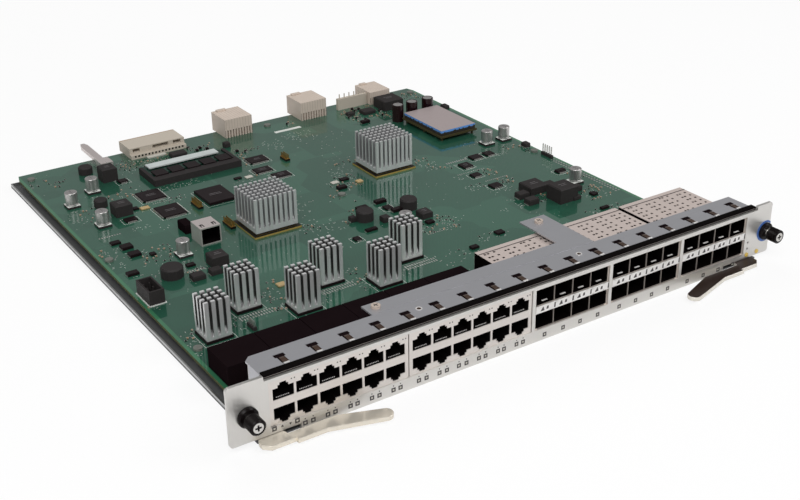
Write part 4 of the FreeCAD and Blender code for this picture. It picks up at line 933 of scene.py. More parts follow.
@dataclass
class SmallParts:
    """Chip resistors, ceramic capacitors, moulded blocks, bare pads and printed dashes.

    A patch names its mix by letters: r resistor, c capacitor, t moulded block, p bare pad and
    d printed dash.
    """

    patches: tuple[Patch, ...]
    blocks: tuple["Block", ...]
    seed: int = 11
    grid: float = 0.7
    gap: float = 0.35
    taken: list[tuple[float, float, float, float]] = field(default_factory=list)
    reach: dict[str, tuple[float, float]] = field(default_factory=lambda: {
        "r": (1.0, 0.6), "c": (1.0, 0.7), "t": (2.0, 1.3), "p": (0.5, 0.5), "d": (0.9, 0.25)})
    on_board: tuple[str, ...] = (
        "logic_chips", "power_inductors", "round_inductors", "can_capacitors", "sleeved_capacitors",
        "switch_chips", "port_chips", "magnetics_modules", "memory_socket", "memory_module",
        "converter_board", *CONNECTORS, "power_connector", "guide_block", "pin_header",
        "pin_strips", "box_header", "board_screws", *CAGES, *JACKS)

    def build(self) -> None:
        """Scatter the parts and deliver one joined piece for each kind."""
        for name in self.on_board:
            for low, high in solids(name):
                self.taken.append((low.x, low.y, high.x, high.y))
        for block in self.blocks:
            self.taken.append(block.reach())
        dice = random.Random(self.seed)
        kinds: dict[str, list[Matrix]] = {kind: [] for kind in self.reach}
        board_low, board_high = corners("main_board")
        for patch in self.patches:
            for _ in range(patch.count):
                kind = dice.choice(patch.kinds)
                turn = dice.choice((0, 90))
                x = patch.x + self.snap(dice.uniform(-0.5, 0.5) * patch.width)
                y = patch.y + self.snap(dice.uniform(-0.5, 0.5) * patch.depth)
                half_x, half_y = self.reach[kind] if turn == 0 else self.reach[kind][::-1]
                spot = (x - half_x, y - half_y, x + half_x, y + half_y)
                inside = (board_low.x + 1 < spot[0] and spot[2] < board_high.x - 1
                          and board_low.y + 1 < spot[1] and spot[3] < board_high.y - 1)
                if inside and self.free(spot):
                    self.taken.append(spot)
                    kinds[kind].append(at(x, y, board_high.z, turn))
        masters = {"r": self.resistor, "c": self.capacitor, "t": self.tantalum,
                   "p": self.pad, "d": self.dash}
        for kind, places in kinds.items():
            master = masters[kind]()
            Bench.deliver(Bench.copies(f"{master.name}s", master, places))

    def snap(self, value: float) -> float:
        """The nearest point of the placing grid."""
        return round(value / self.grid) * self.grid

    def free(self, spot: tuple[float, float, float, float]) -> bool:
        """Whether a part can stand in a place without touching another."""
        gap = self.gap
        return not any(low_x - gap < spot[2] and spot[0] < high_x + gap
                       and low_y - gap < spot[3] and spot[1] < high_y + gap
                       for low_x, low_y, high_x, high_y in self.taken)

    @staticmethod
    def capped(name: str, half_length: float, half_width: float, height: float, cap: float,
               body: Finish) -> Piece:
        """A small block with a metal cap at each end."""
        piece = Bench.block(name, (-half_length, -half_width, 0.0),
                            (half_length, half_width, height))
        Bench.extrude(piece, lambda face: face.normal.x > SQUARE_ON, (cap, 0.0, 0.0))
        Bench.extrude(piece, lambda face: face.normal.x < -SQUARE_ON, (-cap, 0.0, 0.0))
        Bench.finish(piece, body, Finish.TIN)
        Bench.paint(piece, lambda face: abs(face.center.x) > half_length * MM, 1)
        return piece

    def resistor(self) -> Piece:
        """A flat black chip with two metal ends."""
        return self.capped("resistor", 0.55, 0.45, 0.45, 0.35, Finish.EPOXY)

    def capacitor(self) -> Piece:
        """A tan ceramic block with two metal ends."""
        return self.capped("ceramic", 0.5, 0.5, 0.8, 0.4, Finish.TAN)

    def tantalum(self) -> Piece:
        """A moulded black block with a tab at each end."""
        piece = self.capped("moulded_block", 1.5, 1.1, 1.6, 0.35, Finish.EPOXY)
        Bench.inset(piece, lambda face: faces_up(face) and abs(face.center.x) < MM, 0.25, 0.12)
        return piece

    @staticmethod
    def pad() -> Piece:
        """A bare tinned pad."""
        return Bench.tile("bare_pad", (-0.4, -0.4, 0.0), (0.4, 0.4, 0.03), 0.2, 0.04, Finish.TIN)

    @staticmethod
    def dash() -> Piece:
        """A short printed line."""
        return Bench.tile("printed_dash", (-0.8, -0.11, 0.0), (0.8, 0.11, 0.02), 0.05, 0.01,
                          Finish.WHITE_PRINT_AND_HIGHLIGHT)


@dataclass(frozen=True)
class Block:
    """A small moulded part on the board: its middle, its size and its look, in millimetres."""

    x: float
    y: float
    width: float
    depth: float
    height: float
    finish: Finish = Finish.EPOXY
    feet: bool = False
    clear: float = 0.6

    def reach(self) -> tuple[float, float, float, float]:
        """The stretch of board that the part covers."""
        half_x, half_y = self.width / 2 + self.clear, self.depth / 2 + self.clear
        return self.x - half_x, self.y - half_y, self.x + half_x, self.y + half_y


@dataclass
class Blocks:
    """Chips and small coils that stand between the large parts, some on bright metal feet."""

    blocks: tuple[Block, ...]
    foot: float = 1.2
    foot_height: float = 0.5

    def build(self) -> None:
        """Model each block and join them."""
        floor = board_top()
        made = [self.block(one, floor) for one in self.blocks]
        made += [self.feet(one, floor) for one in self.blocks if one.feet]
        Bench.deliver(Bench.join("moulded_parts", made))

    @staticmethod
    def block(one: Block, floor: float) -> Piece:
        """A block with broken upper edges and a slightly sunk top."""
        half_x, half_y = one.width / 2, one.depth / 2
        shape = Bench.block("block", (one.x - half_x, one.y - half_y, floor + 0.15),
                            (one.x + half_x, one.y + half_y, floor + one.height * 0.75))
        taper = (1.0 - 0.5 / one.width, 1.0 - 0.5 / one.depth, 1.0)
        Bench.extrude(shape, faces_up, (0.0, 0.0, one.height * 0.25), taper)
        Bench.inset(shape, faces_up, 0.25, -0.08)
        return Bench.finish(shape, one.finish)

    def feet(self, one: Block, floor: float) -> Piece:
        """A bright strip under two opposite sides."""
        half, reach = one.width / 2, one.depth * 0.36
        pair = []
        for side in (-1, 1):
            inner, outer = sorted((side * (half - self.foot), side * (half + 0.35)))
            pair.append(Bench.tile("foot", (one.x + inner, one.y - reach, floor),
                                   (one.x + outer, one.y + reach, floor + self.foot_height),
                                   0.12, -0.05, Finish.TIN))
        return Bench.join("feet", pair)


@dataclass
class OpenJack:
    """The single network jack: an open metal shell with two spring windows in its top."""

    low: Corner = (-118.3, 10.2, 8.0)
    high: Corner = (-103.0, 26.2, 21.0)
    wall: float = 0.9
    depth: float = 13.0
    window: tuple[float, float] = (2.6, 4.4)
    window_place: tuple[float, float] = (3.2, 4.6)
    skin: float = 0.3

    def build(self) -> None:
        """Model the shell and its windows."""
        shell = Bench.block("shell", self.low, self.high)
        Bench.inset(shell, faces_front, self.wall)
        inner = (self.high[0] - self.low[0] - 2.5 * self.wall) * MM
        middle = [(low + high) / 2 * MM for low, high in zip(self.low, self.high)]
        Bench.extrude(shell, lambda face: faces_front(face) and self.spread(shell, face) > inner
                      and abs(face.center.x - middle[0]) < MM / 10
                      and abs(face.center.z - middle[2]) < MM / 10, (0.0, self.depth, 0.0))
        Bench.finish(shell, Finish.ROSE, Finish.CAVITY)
        lower = [(part + self.skin) * MM for part in self.low]
        upper = [(part - self.skin) * MM for part in self.high]
        Bench.paint(shell, lambda face: all(
            low < part < high for low, part, high in zip(lower, face.center, upper)), 1)
        windows = []
        half_x, half_y = self.window[0] / 2, self.window[1] / 2
        y, top = self.low[1] + self.window_place[1], self.high[2]
        for x in (self.low[0] + self.window_place[0], self.high[0] - self.window_place[0]):
            windows.append(Bench.tile("window", (x - half_x, y - half_y, top - 0.1),
                                      (x + half_x, y + half_y, top + 0.03),
                                      0.2, 0.02, Finish.CAVITY))
            windows.append(Bench.tile("spring", (x - 0.5, y - half_y, top),
                                      (x + 0.5, y + 0.6, top + 0.08), 0.1, 0.03, Finish.ROSE))
        piece = Bench.join("open_jack", [shell, *windows])
        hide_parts("stacked_jack")
        Bench.deliver(piece)

    @staticmethod
    def spread(piece: Piece, face: Face) -> float:
        """How wide a face is along X, in metres."""
        across = [piece.data.vertices[index].co.x for index in face.vertices]
        return max(across) - min(across)


@dataclass
class MemoryDressing:
    """Black memory chips in a row on the module, with a pale label along its rear."""

    chips: int = 5
    chip: tuple[float, float, float] = (10.6, 11.5, 1.0)
    front: float = 3.6
    label_depth: float = 8.6

    def build(self) -> None:
        """Place the chips, the contacts and the label on the module's top."""
        low, high = corners("memory_module")
        step = (high.x - low.x) / self.chips
        width, depth, height = self.chip
        shape = Bench.block("memory_chip", (-width / 2, 0.0, 0.0), (width / 2, depth, height * 0.8))
        Bench.extrude(shape, faces_up, (0.0, 0.0, height * 0.2), (0.97, 0.97, 1.0))
        Bench.inset(shape, faces_up, 0.3, -0.04)
        Bench.finish(shape, Finish.EPOXY)
        places = [at(low.x + step * (i + 0.5), low.y + self.front, high.z)
                  for i in range(self.chips)]
        Bench.deliver(Bench.copies("memory_chips", shape, places))
        rear = high.y - 0.6
        Bench.deliver(Bench.tile("label", (low.x + 3, rear - self.label_depth, high.z),
                                 (high.x - 5, rear, high.z + 1.0), 0.25, 0.05, Finish.LABEL))
        contact = Bench.tile("contact", (-0.18, 0.0, 0.0), (0.18, 2.2, 0.03), 0.06, 0.01,
                             Finish.GOLD)
        count = int((high.x - low.x) - 4)
        places = [at(low.x + 2 + i, low.y + 0.2, high.z) for i in range(count)]
        Bench.deliver(Bench.copies("module_contacts", contact, places))


@dataclass
class ConnectorFace:
    """The wide rear connector's row of openings painted dark as shade, its tan edge and the pale
    strip before it.
    """

    openings: int = 15
    margin: float = 3.5
    side: float = 1.5
    rise: float = 1.5

    def build(self) -> None:
        """Fit the face to the connector."""
        low, high = corners("power_connector")
        step = (high.x - low.x - 2 * self.margin) / (self.openings - 1)
        half = self.side / 2
        # Each opening is a flat dark square on the front: painted shade.
        hole = Bench.tile("hole", (-half, -0.05, 0.0), (half, 0.0, self.side), 0.15, 0.01,
                          Finish.CAVITY, side=faces_front)
        places = [at(low.x + self.margin + i * step, low.y, low.z + self.rise)
                  for i in range(self.openings)]
        holes = Bench.copies("holes", hole, places)
        edge = Bench.tile("edge", (low.x + 0.6, high.y - 1.3, high.z - 0.05),
                          (high.x - 0.6, high.y - 0.3, high.z + 0.05), 0.1, 0.02, Finish.TAN)
        strip = Bench.tile("strip", (low.x + 12, low.y - 4.6, low.z),
                           (high.x - 20, low.y - 0.6, low.z + 1.0), 0.4, 0.15, Finish.PALE)
        Bench.deliver(Bench.join("connector_face", [holes, edge, strip]))


@dataclass
class HeaderFoot:
    """The pale standoff edge round the foot of the box header."""

    width: float = 0.7
    height: float = 0.6

    def build(self) -> None:
        """Model the edge as a low tray round the foot."""
        low, high = corners("box_header")
        edge = self.width
        Bench.deliver(Bench.tile("header_foot", (low.x - edge, low.y - edge, low.z),
                                 (high.x + edge, high.y + edge, low.z + self.height),
                                 edge * 0.8, -0.1, Finish.WHITE_PRINT_AND_HIGHLIGHT))


@dataclass
class PinRows:
    """Single rows of tall bright pins on black strips."""

    rows: tuple[tuple[float, float, int, float, float], ...]  # x, first y, pins, pitch, height

    def build(self) -> None:
        """Model each strip with its pins."""
        floor = board_top()
        made = []
        for x, y, pins, pitch, height in self.rows:
            end = y + pitch * (pins - 1)
            strip = Bench.tile("strip", (x - 1.2, y - 1.2, floor),
                               (x + 1.2, end + 1.2, floor + 2.4), 0.3, 0.1, Finish.BLACK)
            pin = Bench.block("pin", (-0.4, -0.4, 2.3), (0.4, 0.4, height - 0.6))
            Bench.extrude(pin, faces_up, (0.0, 0.0, 0.6), (0.4, 0.4, 1.0))
            Bench.finish(pin, Finish.TIN)
            places = [at(x, y + i * pitch, floor) for i in range(pins)]
            made += [strip, Bench.copies("pins", pin, places)]
        Bench.deliver(Bench.join("pin_rows", made))


@dataclass
class TopMarks:
    """Fields of fine grey dashes where chips and coils carry printing."""

    nodes: tuple[str, ...] = ("logic_chips", "power_inductors", "can_capacitors")
    smallest: float = 7.5
    line_pitch: float = 2.2
    rows: int = 2
    seed: int = 5

    def build(self) -> None:
        """Put a few short lines on each top that is large enough."""
        dice = random.Random(self.seed)
        places = []
        for name in self.nodes:
            for low, high in solids(name):
                width, depth = high.x - low.x, high.y - low.y
                if min(width, depth) < self.smallest:
                    continue
                middle = (low + high) / 2
                for row in range(self.rows):
                    length = dice.uniform(0.28, 0.46) * width
                    y = middle.y + (0.5 - row) * self.line_pitch
                    places.append(at(middle.x, y, high.z)
                                  @ Matrix.Diagonal((length, 1.0, 1.0, 1.0)))
        line = Bench.tile("line", (-0.5, -0.22, 0.0), (0.5, 0.22, 0.03), 0.04, 0.01,
                          Finish.PRINT_GREY)
        Bench.deliver(Bench.copies("top_marks", line, places))


@dataclass
class ChipLegs:
    """Gull-wing legs round the flat chips."""

    pitch: float = 0.8
    margin: float = 1.1
    four_sided: float = 12.0
    no_legs: float = 26.0

    def build(self) -> None:
        """Place a row of legs along the sides of each chip."""
        places = []
        for low, high in solids("logic_chips"):
            width, depth = high.x - low.x, high.y - low.y
            if max(width, depth) > self.no_legs:
                continue
            middle = (low + high) / 2
            for turn, half, length in ((0, depth / 2, width), (180, depth / 2, width),
                                       (90, width / 2, depth), (270, width / 2, depth)):
                if width < self.four_sided and turn in (90, 270):
                    continue
                places += self.row(middle, low.z, half, length, turn)
        Bench.deliver(Bench.copies("chip_legs", self.leg(), places))

    def row(self, middle: Vector, foot: float, half: float, length: float,
            turn: float) -> list[Matrix]:
        """The places of the legs along one side of a chip."""
        count = int((length - 2 * self.margin) / self.pitch) + 1
        start = -(count - 1) * self.pitch / 2
        stand = at(middle.x, middle.y, foot, turn)
        return [stand @ at(start + i * self.pitch, half, 0.0) for i in range(count)]

    @staticmethod
    def leg() -> Piece:
        """One leg, bent down from the chip's side to the board."""
        piece = Bench.block("leg", (-0.2, -0.1, 0.7), (0.2, 0.25, 0.9))
        Bench.extrude(piece, faces_rear, (0.0, 0.25, -0.68))
        Bench.extrude(piece, faces_rear, (0.0, 0.6, 0.0))
        return Bench.finish(piece, Finish.TIN)


@dataclass(frozen=True)
class PadField:
    """A grid of tinned pads: its middle, counts, pitches and one pad's size, in millimetres."""

    x: float
    y: float
    columns: int
    rows: int
    pitch_x: float
    pitch_y: float
    width: float
    depth: float


@dataclass
class BoardPrint:
    """Tinned pads, white outlines round the parts, and the plain label strips."""

    pads: tuple[PadField, ...]
    lift: float = 0.02
    line: float = 0.22
    outline_gap: float = 1.9
    outlined: tuple[str, ...] = ("logic_chips", "port_chips")
    strips: tuple[tuple[float, float, float, float], ...] = ()

    def build(self) -> None:
        """Lay the pads, the outlines and the strips on the board."""
        self.top = board_top()
        made = [self.pad_field(pads) for pads in self.pads]
        Bench.deliver(Bench.join("tinned_pads", made))
        frames = []
        for name in self.outlined:
            for low, high in solids(name):
                gap = self.outline_gap
                frames.append(self.outline(low.x - gap, low.y - gap, high.x + gap, high.y + gap))
        frames += [self.strip(*strip) for strip in self.strips]
        Bench.deliver(Bench.join("board_marks", frames))

    def pad_field(self, pads: PadField) -> Piece:
        """One grid of pads."""
        half_x, half_y = pads.width / 2, pads.depth / 2
        pad = Bench.tile("pad", (-half_x, -half_y, 0.0), (half_x, half_y, 0.03),
                         min(half_x, half_y) * 0.5, 0.04, Finish.TIN)
        first_x = pads.x - (pads.columns - 1) * pads.pitch_x / 2
        first_y = pads.y - (pads.rows - 1) * pads.pitch_y / 2
        places = [at(first_x + i * pads.pitch_x, first_y + j * pads.pitch_y, self.top)
                  for i in range(pads.columns) for j in range(pads.rows)]
        return Bench.copies("pads", pad, places)

    def outline(self, x0: float, y0: float, x1: float, y1: float) -> Piece:
        """A thin printed line round a part."""
        broad = (x1 - x0) * (y1 - y0) * MM * MM / 2
        outline = Bench.block("outline", (x0, y0, self.top), (x1, y1, self.top + self.lift))
        Bench.inset(outline, lambda face: abs(face.normal.z) > SQUARE_ON, self.line)
        Bench.edit(outline, lambda face: abs(face.normal.z) > SQUARE_ON and face.area > broad)
        bpy.ops.mesh.bridge_edge_loops()
        Bench.done()
        return Bench.finish(outline, Finish.WHITE_PRINT_AND_HIGHLIGHT)

    def strip(self, x: float, y: float, width: float, depth: float) -> Piece:
        """A plain white field."""
        piece = Bench.block("strip", (x - width / 2, y - depth / 2, self.top),
                            (x + width / 2, y + depth / 2, self.top + 2 * self.lift))
        Bench.soften(piece, self.lift / 2, 1)
        return Bench.finish(piece, Finish.WHITE_PRINT_AND_HIGHLIGHT)


# ------------------------------------------------------------------ capacitors and inductors
@dataclass
class Cans:
    """Silver can capacitors on black bases, and the taller sleeved ones."""

    sides: int = 32
    rim: float = 0.7

    def build(self) -> None:
        """Model one of each kind and copy it to each place."""
        places = solids("can_capacitors")
        low, high = places[0]
        master = self.can(high.x - low.x, high.z - low.z)
        piece = Bench.copies("can_bodies", master, self.stands(places))
        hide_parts("can_capacitors")
        Bench.deliver(piece)
        places = solids("sleeved_capacitors")
        low, high = places[0]
        master = self.sleeve(high.x - low.x, high.z - low.z)
        piece = Bench.copies("sleeve_bodies", master, self.stands(places))
        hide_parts("sleeved_capacitors")
        Bench.deliver(piece)

    @staticmethod
    def stands(places: list[tuple[Vector, Vector]]) -> list[Matrix]:
        """The middle of each part's foot."""
        return [at((low.x + high.x) / 2, (low.y + high.y) / 2, low.z) for low, high in places]

    def can(self, width: float, height: float) -> Piece:
        """A base with a raised top and softened edges, and a can with a bead near its foot and a
        rounded top.
        """
        half = width / 2
        base = Bench.block("base", (-half, -half, 0.0), (half, half, 1.6))
        Bench.inset(base, faces_up, 0.3, 0.3)
        Bench.soften(base, 0.25, 1)
        # The base's raised top round the can is white: a painted highlight on the black base.
        Bench.finish(base, Finish.BLACK, Finish.WHITE_PRINT_AND_HIGHLIGHT)
        Bench.paint(base, lambda face: faces_up(face) and face.center.z > 1.8 * MM, 1)
        radius = half - 0.35
        can = Bench.drum("can", (0.0, 0.0, 1.8), radius, 0.9, self.sides)
        Bench.inset(can, faces_up, 0.3, 0.25)
        Bench.extrude(can, faces_up, (0.0, 0.0, 0.5))
        flare = radius / (radius - 0.3)
        Bench.extrude(can, faces_up, (0.0, 0.0, 0.3), (flare, flare, 1.0))
        Bench.extrude(can, faces_up, (0.0, 0.0, height - 4.3))
        Bench.inset(can, faces_up, 0.25, 0.35)
        Bench.inset(can, faces_up, 0.55, 0.2)
        Bench.smooth(can, 35.0)
        Bench.finish(can, Finish.ALUMINIUM)
        # A thin dark line across the top stands for the vent score: painted shade in the groove.
        vent = Bench.block("vent", (-0.12, -radius * 0.6, height),
                           (0.12, radius * 0.6, height + 0.03))
        Bench.soften(vent, 0.01, 1)
        Bench.finish(vent, Finish.DARK_PRINT_AND_SHADE)
        return Bench.join("can", [can, base, vent])

    def sleeve(self, width: float, height: float) -> Piece:
        """A sleeved can whose sleeve laps over the rim of its silver top."""
        radius = width / 2
        body = Bench.drum("sleeve", (0.0, 0.0, 0.0), radius, height - 0.5, self.sides)
        Bench.inset(body, faces_up, 0.3, 0.35)
        Bench.inset(body, faces_up, self.rim, 0.15)
        Bench.inset(body, faces_up, 0.12, -0.3)
        Bench.smooth(body, 35.0)
        Bench.finish(body, Finish.SLEEVE_SKIN, Finish.ALUMINIUM)
        inner = (radius - 0.3 - self.rim) * MM
        Bench.paint(body, lambda face: faces_up(face) and Vector(face.center[:2]).length < inner, 1)
        return body


@dataclass
class RoundInductors:
    """Moulded drum inductors with a faceted side and a broken upper edge."""

    sides: int = 16

    def build(self) -> None:
        """Make one drum and fit a copy to each place."""
        drum = Bench.drum("drum", (0.0, 0.0, 0.0), 0.5, 0.86, self.sides)
        Bench.extrude(drum, faces_up, (0.0, 0.0, 0.14), (0.88, 0.88, 1.0))
        Bench.inset(drum, faces_up, 0.06, -0.02)
        Bench.finish(drum, Finish.BLACK)
        places = []
        for low, high in solids("round_inductors"):
            size = high - low
            places.append(at((low.x + high.x) / 2, (low.y + high.y) / 2, low.z)
                          @ Matrix.Diagonal((size.x, size.y, size.z, 1.0)))
        piece = Bench.copies("drum_inductors", drum, places)
        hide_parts("round_inductors")
        Bench.deliver(piece)


# ------------------------------------------------------------------ front panel and ports
@dataclass
class PortMarks:
    """Small framed squares printed under the ports, with two arrows by the first pair."""

    side: float = 2.8
    line: float = 0.8
    thickness: float = 0.04
    first_row: tuple[float, ...] = (-180.1, -166.3)
    first_height: float = 7.0
    arrows: tuple[tuple[float, float], ...] = ((-175.4, 90.0), (-170.5, 270.0))
    jack_row: tuple[float, ...] = (
        -161.6, -156.7, -147.6, -142.9, -133.3, -128.8, -119.4, -114.5, -105.2, -100.5, -88.0,
        -82.8, -73.8, -68.6, -60.1, -54.7, -45.7, -40.9, -31.7, -27.3, -17.9, -13.0)
    jack_height: float = 3.7
    cage_row: tuple[float, ...] = (
        3.6, 18.1, 31.7, 46.0, 63.9, 77.9, 91.7, 105.8, 123.3, 138.0, 151.9, 165.2)
    cage_height: float = 3.4
    dot_pairs: int = 6
    dot_margin: float = 1.6

    def build(self) -> None:
        """Print the marks on the panel's face."""
        face = corners("front_panel")[0].y
        half = self.side / 2
        mark = Bench.tile("mark", (-half, -self.thickness, -half), (half, 0.0, half), self.line,
                          0.0, Finish.DARK_PRINT_AND_SHADE, Finish.PALE, side=faces_front)
        Bench.paint(mark, lambda face: faces_front(face) and face.center.length < self.line * MM, 1)
        rows = [(self.first_row, self.first_height), (self.jack_row, self.jack_height),
                (self.cage_row, self.cage_height)]
        places = [at(x, face, z) for row, z in rows for x in row]
        marks = [Bench.copies("marks", mark, places)]
        marks += [self.arrow(x, face, turn) for x, turn in self.arrows]
        Bench.deliver(Bench.join("port_marks", marks))
        dot = Bench.tile("dot", (-0.35, -self.thickness, -0.35), (0.35, 0.0, 0.35), 0.1, 0.0,
                         Finish.DARK_PRINT_AND_SHADE, side=faces_front)
        places = [at(x, face, self.jack_height + 2.6) for x in self.jack_row]
        for name in JACKS:
            low, high = corners(name)
            step = (high.x - low.x - 2 * self.dot_margin) / self.dot_pairs
            for pair in range(self.dot_pairs):
                x = low.x + self.dot_margin + step * (pair + 0.93)
                places += [at(x - 0.9, low.y, high.z - 2.2), at(x + 0.9, low.y, high.z - 2.2)]
        Bench.deliver(Bench.copies("port_dots", dot, places))

    def arrow(self, x: float, face: float, turn: float) -> Piece:
        """A flat triangle that points up or down."""
        arrow = Bench.drum("arrow", (0.0, 0.0, 0.0), self.side * 0.35, self.thickness, 3)
        Bench.inset(arrow, faces_up, self.line / 4)
        Bench.finish(arrow, Finish.DARK_PRINT_AND_SHADE)
        spin = Matrix.Rotation(math.radians(turn - 90.0), 4, "Z")
        arrow.data.transform(at(x, face, self.first_height) @ TO_THE_FRONT @ spin)
        return arrow


@dataclass
class PortContacts:
    """Eight sprung wires in each network port."""

    columns: int = 6
    pitch: float = 14.0
    side_wall: float = 2.3
    mouth: float = 12.6
    wires: int = 8
    wire_pitch: float = 1.02
    thickness: float = 0.45
    bar: tuple[float, float] = (18.9, 23.8)

    def build(self) -> None:
        """Put a comb of wires at the bar side of each mouth."""
        places = []
        for name in JACKS:
            low, _ = corners(name)
            for column in range(self.columns):
                x = low.x + self.side_wall + self.mouth / 2 + column * self.pitch
                places.append(at(x, low.y + 1.2, self.bar[1]))
                places.append(at(x, low.y + 1.2, self.bar[0]) @ UPSIDE_DOWN)
        combs = Bench.copies("port_contacts", self.comb(), places)
        Bench.outward(combs)
        Bench.deliver(combs)

    def comb(self) -> Piece:
        """One port's wires, each rising to the rear."""
        half = self.thickness / 2
        wire = Bench.block("wire", (-half, 0.0, 0.5), (half, 0.3, 0.5 + self.thickness))
        Bench.extrude(wire, faces_rear, (0.0, 0.5, 0.1))
        Bench.extrude(wire, faces_rear, (0.0, 7.0, 2.6))
        # The rear of each wire, deep in the port, takes the port's black: painted shade.
        Bench.finish(wire, Finish.BRIGHT, Finish.CAVITY)
        Bench.paint(wire, lambda face: face.center.y > MM / 2, 1)
        first = -(self.wires - 1) * self.wire_pitch / 2
        places = [at(first + i * self.wire_pitch, 0.0, 0.0) for i in range(self.wires)]
        return Bench.copies("comb", wire, places)


@dataclass
class CageDetails:
    """The cages' spring tongues, latch tabs, middle bands and perforated top sheets."""

    cages: tuple[str, ...] = CAGES
    columns: int = 4
    pitch: float = 14.25
    sheet: float = 0.4
    band: tuple[float, float] = (19.0, 24.0)
    skin_depth: float = 34.0
    skin_lift: float = 0.25
    holes: tuple[int, int] = (24, 14)

    def build(self) -> None:
        """Add the tongues, the tabs, the top sheets and the bands."""
        tongues, tabs, skins, bands = [], [], [], []
        for name in self.cages:
            low, high = corners(name)
            for column in range(self.columns):
                x = low.x + self.sheet + column * self.pitch
                cell = self.pitch - self.sheet
                for share in (0.13, 0.80):
                    tongues.append(at(x + cell * share, low.y - 0.6, self.band[1] - 0.5))
                    tongues.append(at(x + cell * share, low.y - 0.6, self.band[0] + 0.5)
                                   @ UPSIDE_DOWN)
                tabs.append(at(x + cell / 2, low.y + 0.6, self.band[1] + 0.1))
            skins.append(self.skin(low, high))
            bands.append(self.band_plate(low, high))
        springs = Bench.copies("cage_tongues", self.tongue(), tongues)
        Bench.outward(springs)
        Bench.deliver(springs)
        Bench.deliver(Bench.copies("cage_latches", self.latch(), tabs))
        Bench.deliver(Bench.join("cage_tops", skins))
        Bench.deliver(Bench.join("cage_bands", bands))

    @staticmethod
    def tongue() -> Piece:
        """A small sprung tongue, bowed out from the band."""
        piece = Bench.block("tongue", (-0.9, -0.05, -1.1), (0.9, 0.1, -0.9))
        Bench.extrude(piece, faces_up, (0.0, -0.45, 0.7), (0.9, 1.0, 1.0))
        Bench.extrude(piece, faces_up, (0.0, 0.3, 0.6), (0.8, 1.0, 1.0))
        return Bench.finish(piece, Finish.BRIGHT)

    @staticmethod
    def latch() -> Piece:
        """The latch tab in a cell's mouth, with its catch hole."""
        piece = Bench.block("latch", (-2.0, 0.0, 2.0), (2.0, 0.8, 2.35))
        Bench.extrude(piece, faces_front, (0.0, -0.5, 0.3), (0.85, 1.0, 1.0))
        Bench.inset(piece, faces_up, 0.15, -0.05)
        return Bench.finish(piece, Finish.BRIGHT)

    def band_plate(self, low: Vector, high: Vector) -> Piece:
        """The bright plate between the two rows of a cage, with dark marks for its openings,
        painted as shade.
        """
        foot, head = self.band
        front = corners("cage_strips")[0].y
        marks = [Bench.tile("plate", (low.x + 0.3, front - 0.05, foot),
                            (high.x - 0.3, front + 0.1, head), 0.2, 0.02, Finish.BRIGHT,
                            side=faces_front)]
        for column in range(self.columns):
            left = low.x + self.sheet + column * self.pitch
            for x, half, size, taper in ((left + 4.6, 1.3, 2.6, 0.15), (left + 8.4, 0.8, 1.9, 0.8),
                                         (left + self.pitch - 0.2, 0.55, 3.2, 0.9)):
                middle = (foot + head) / 2
                # Each opening is a dark mark on the plate: painted shade.
                mark = Bench.block("mark", (x - half, front - 0.12, middle - size / 2),
                                   (x + half, front, middle - size / 2 + 0.4))
                Bench.extrude(mark, faces_up, (0.4 * half, 0.0, size - 0.4), (taper, 1.0, 1.0))
                marks.append(Bench.finish(mark, Finish.DARK_PRINT_AND_SHADE))
        return Bench.join("band", marks)

    def skin(self, low: Vector, high: Vector) -> Piece:
        """A thin top sheet with rows of square holes and a dark rear strip, painted as the shade of
        the fold.
        """
        Bench.clear()
        columns, rows = self.holes
        width = high.x - low.x
        middle = ((low.x + high.x) / 2 * MM, (high.y - self.skin_depth / 2) * MM,
                  (high.z + self.skin_lift) * MM)
        bpy.ops.mesh.primitive_grid_add(x_subdivisions=columns, y_subdivisions=rows, size=1.0,
                                        location=middle)
        sheet = bpy.context.active_object
        sheet.scale = (width * MM, self.skin_depth * MM, 1.0)
        bpy.ops.object.transform_apply(location=True, rotation=True, scale=True)
        step_x, step_y = width / columns, self.skin_depth / rows

        def holed(face: Face) -> bool:
            """Whether a square of the sheet holds a hole."""
            column = int((face.center.x / MM - low.x) / step_x)
            row = int((high.y - face.center.y / MM) / step_y)
            return row >= 2 and column % 6 in (1, 2, 4) and (row + column // 6) % 2 == 0

        Bench.edit(sheet, holed)
        bpy.ops.mesh.inset(thickness=0.34 * MM, use_individual=True)
        bpy.ops.mesh.delete(type="FACE")
        Bench.done()
        Bench.thicken(sheet, self.skin_lift)
        # The rear fold is drawn as a dark strip: painted shade in the crease.
        fold = Bench.block("fold", (low.x, high.y - 4.6, high.z + self.skin_lift),
                           (high.x, high.y - 4.2, high.z + self.skin_lift + 0.25))
        Bench.extrude(fold, faces_up, (0.0, 0.1, 0.05), (1.0, 0.5, 1.0))
        Bench.finish(fold, Finish.DARK_PRINT_AND_SHADE)
        Bench.finish(sheet, Finish.TOP_SHEET)
        return Bench.join("cage_top", [sheet, fold])


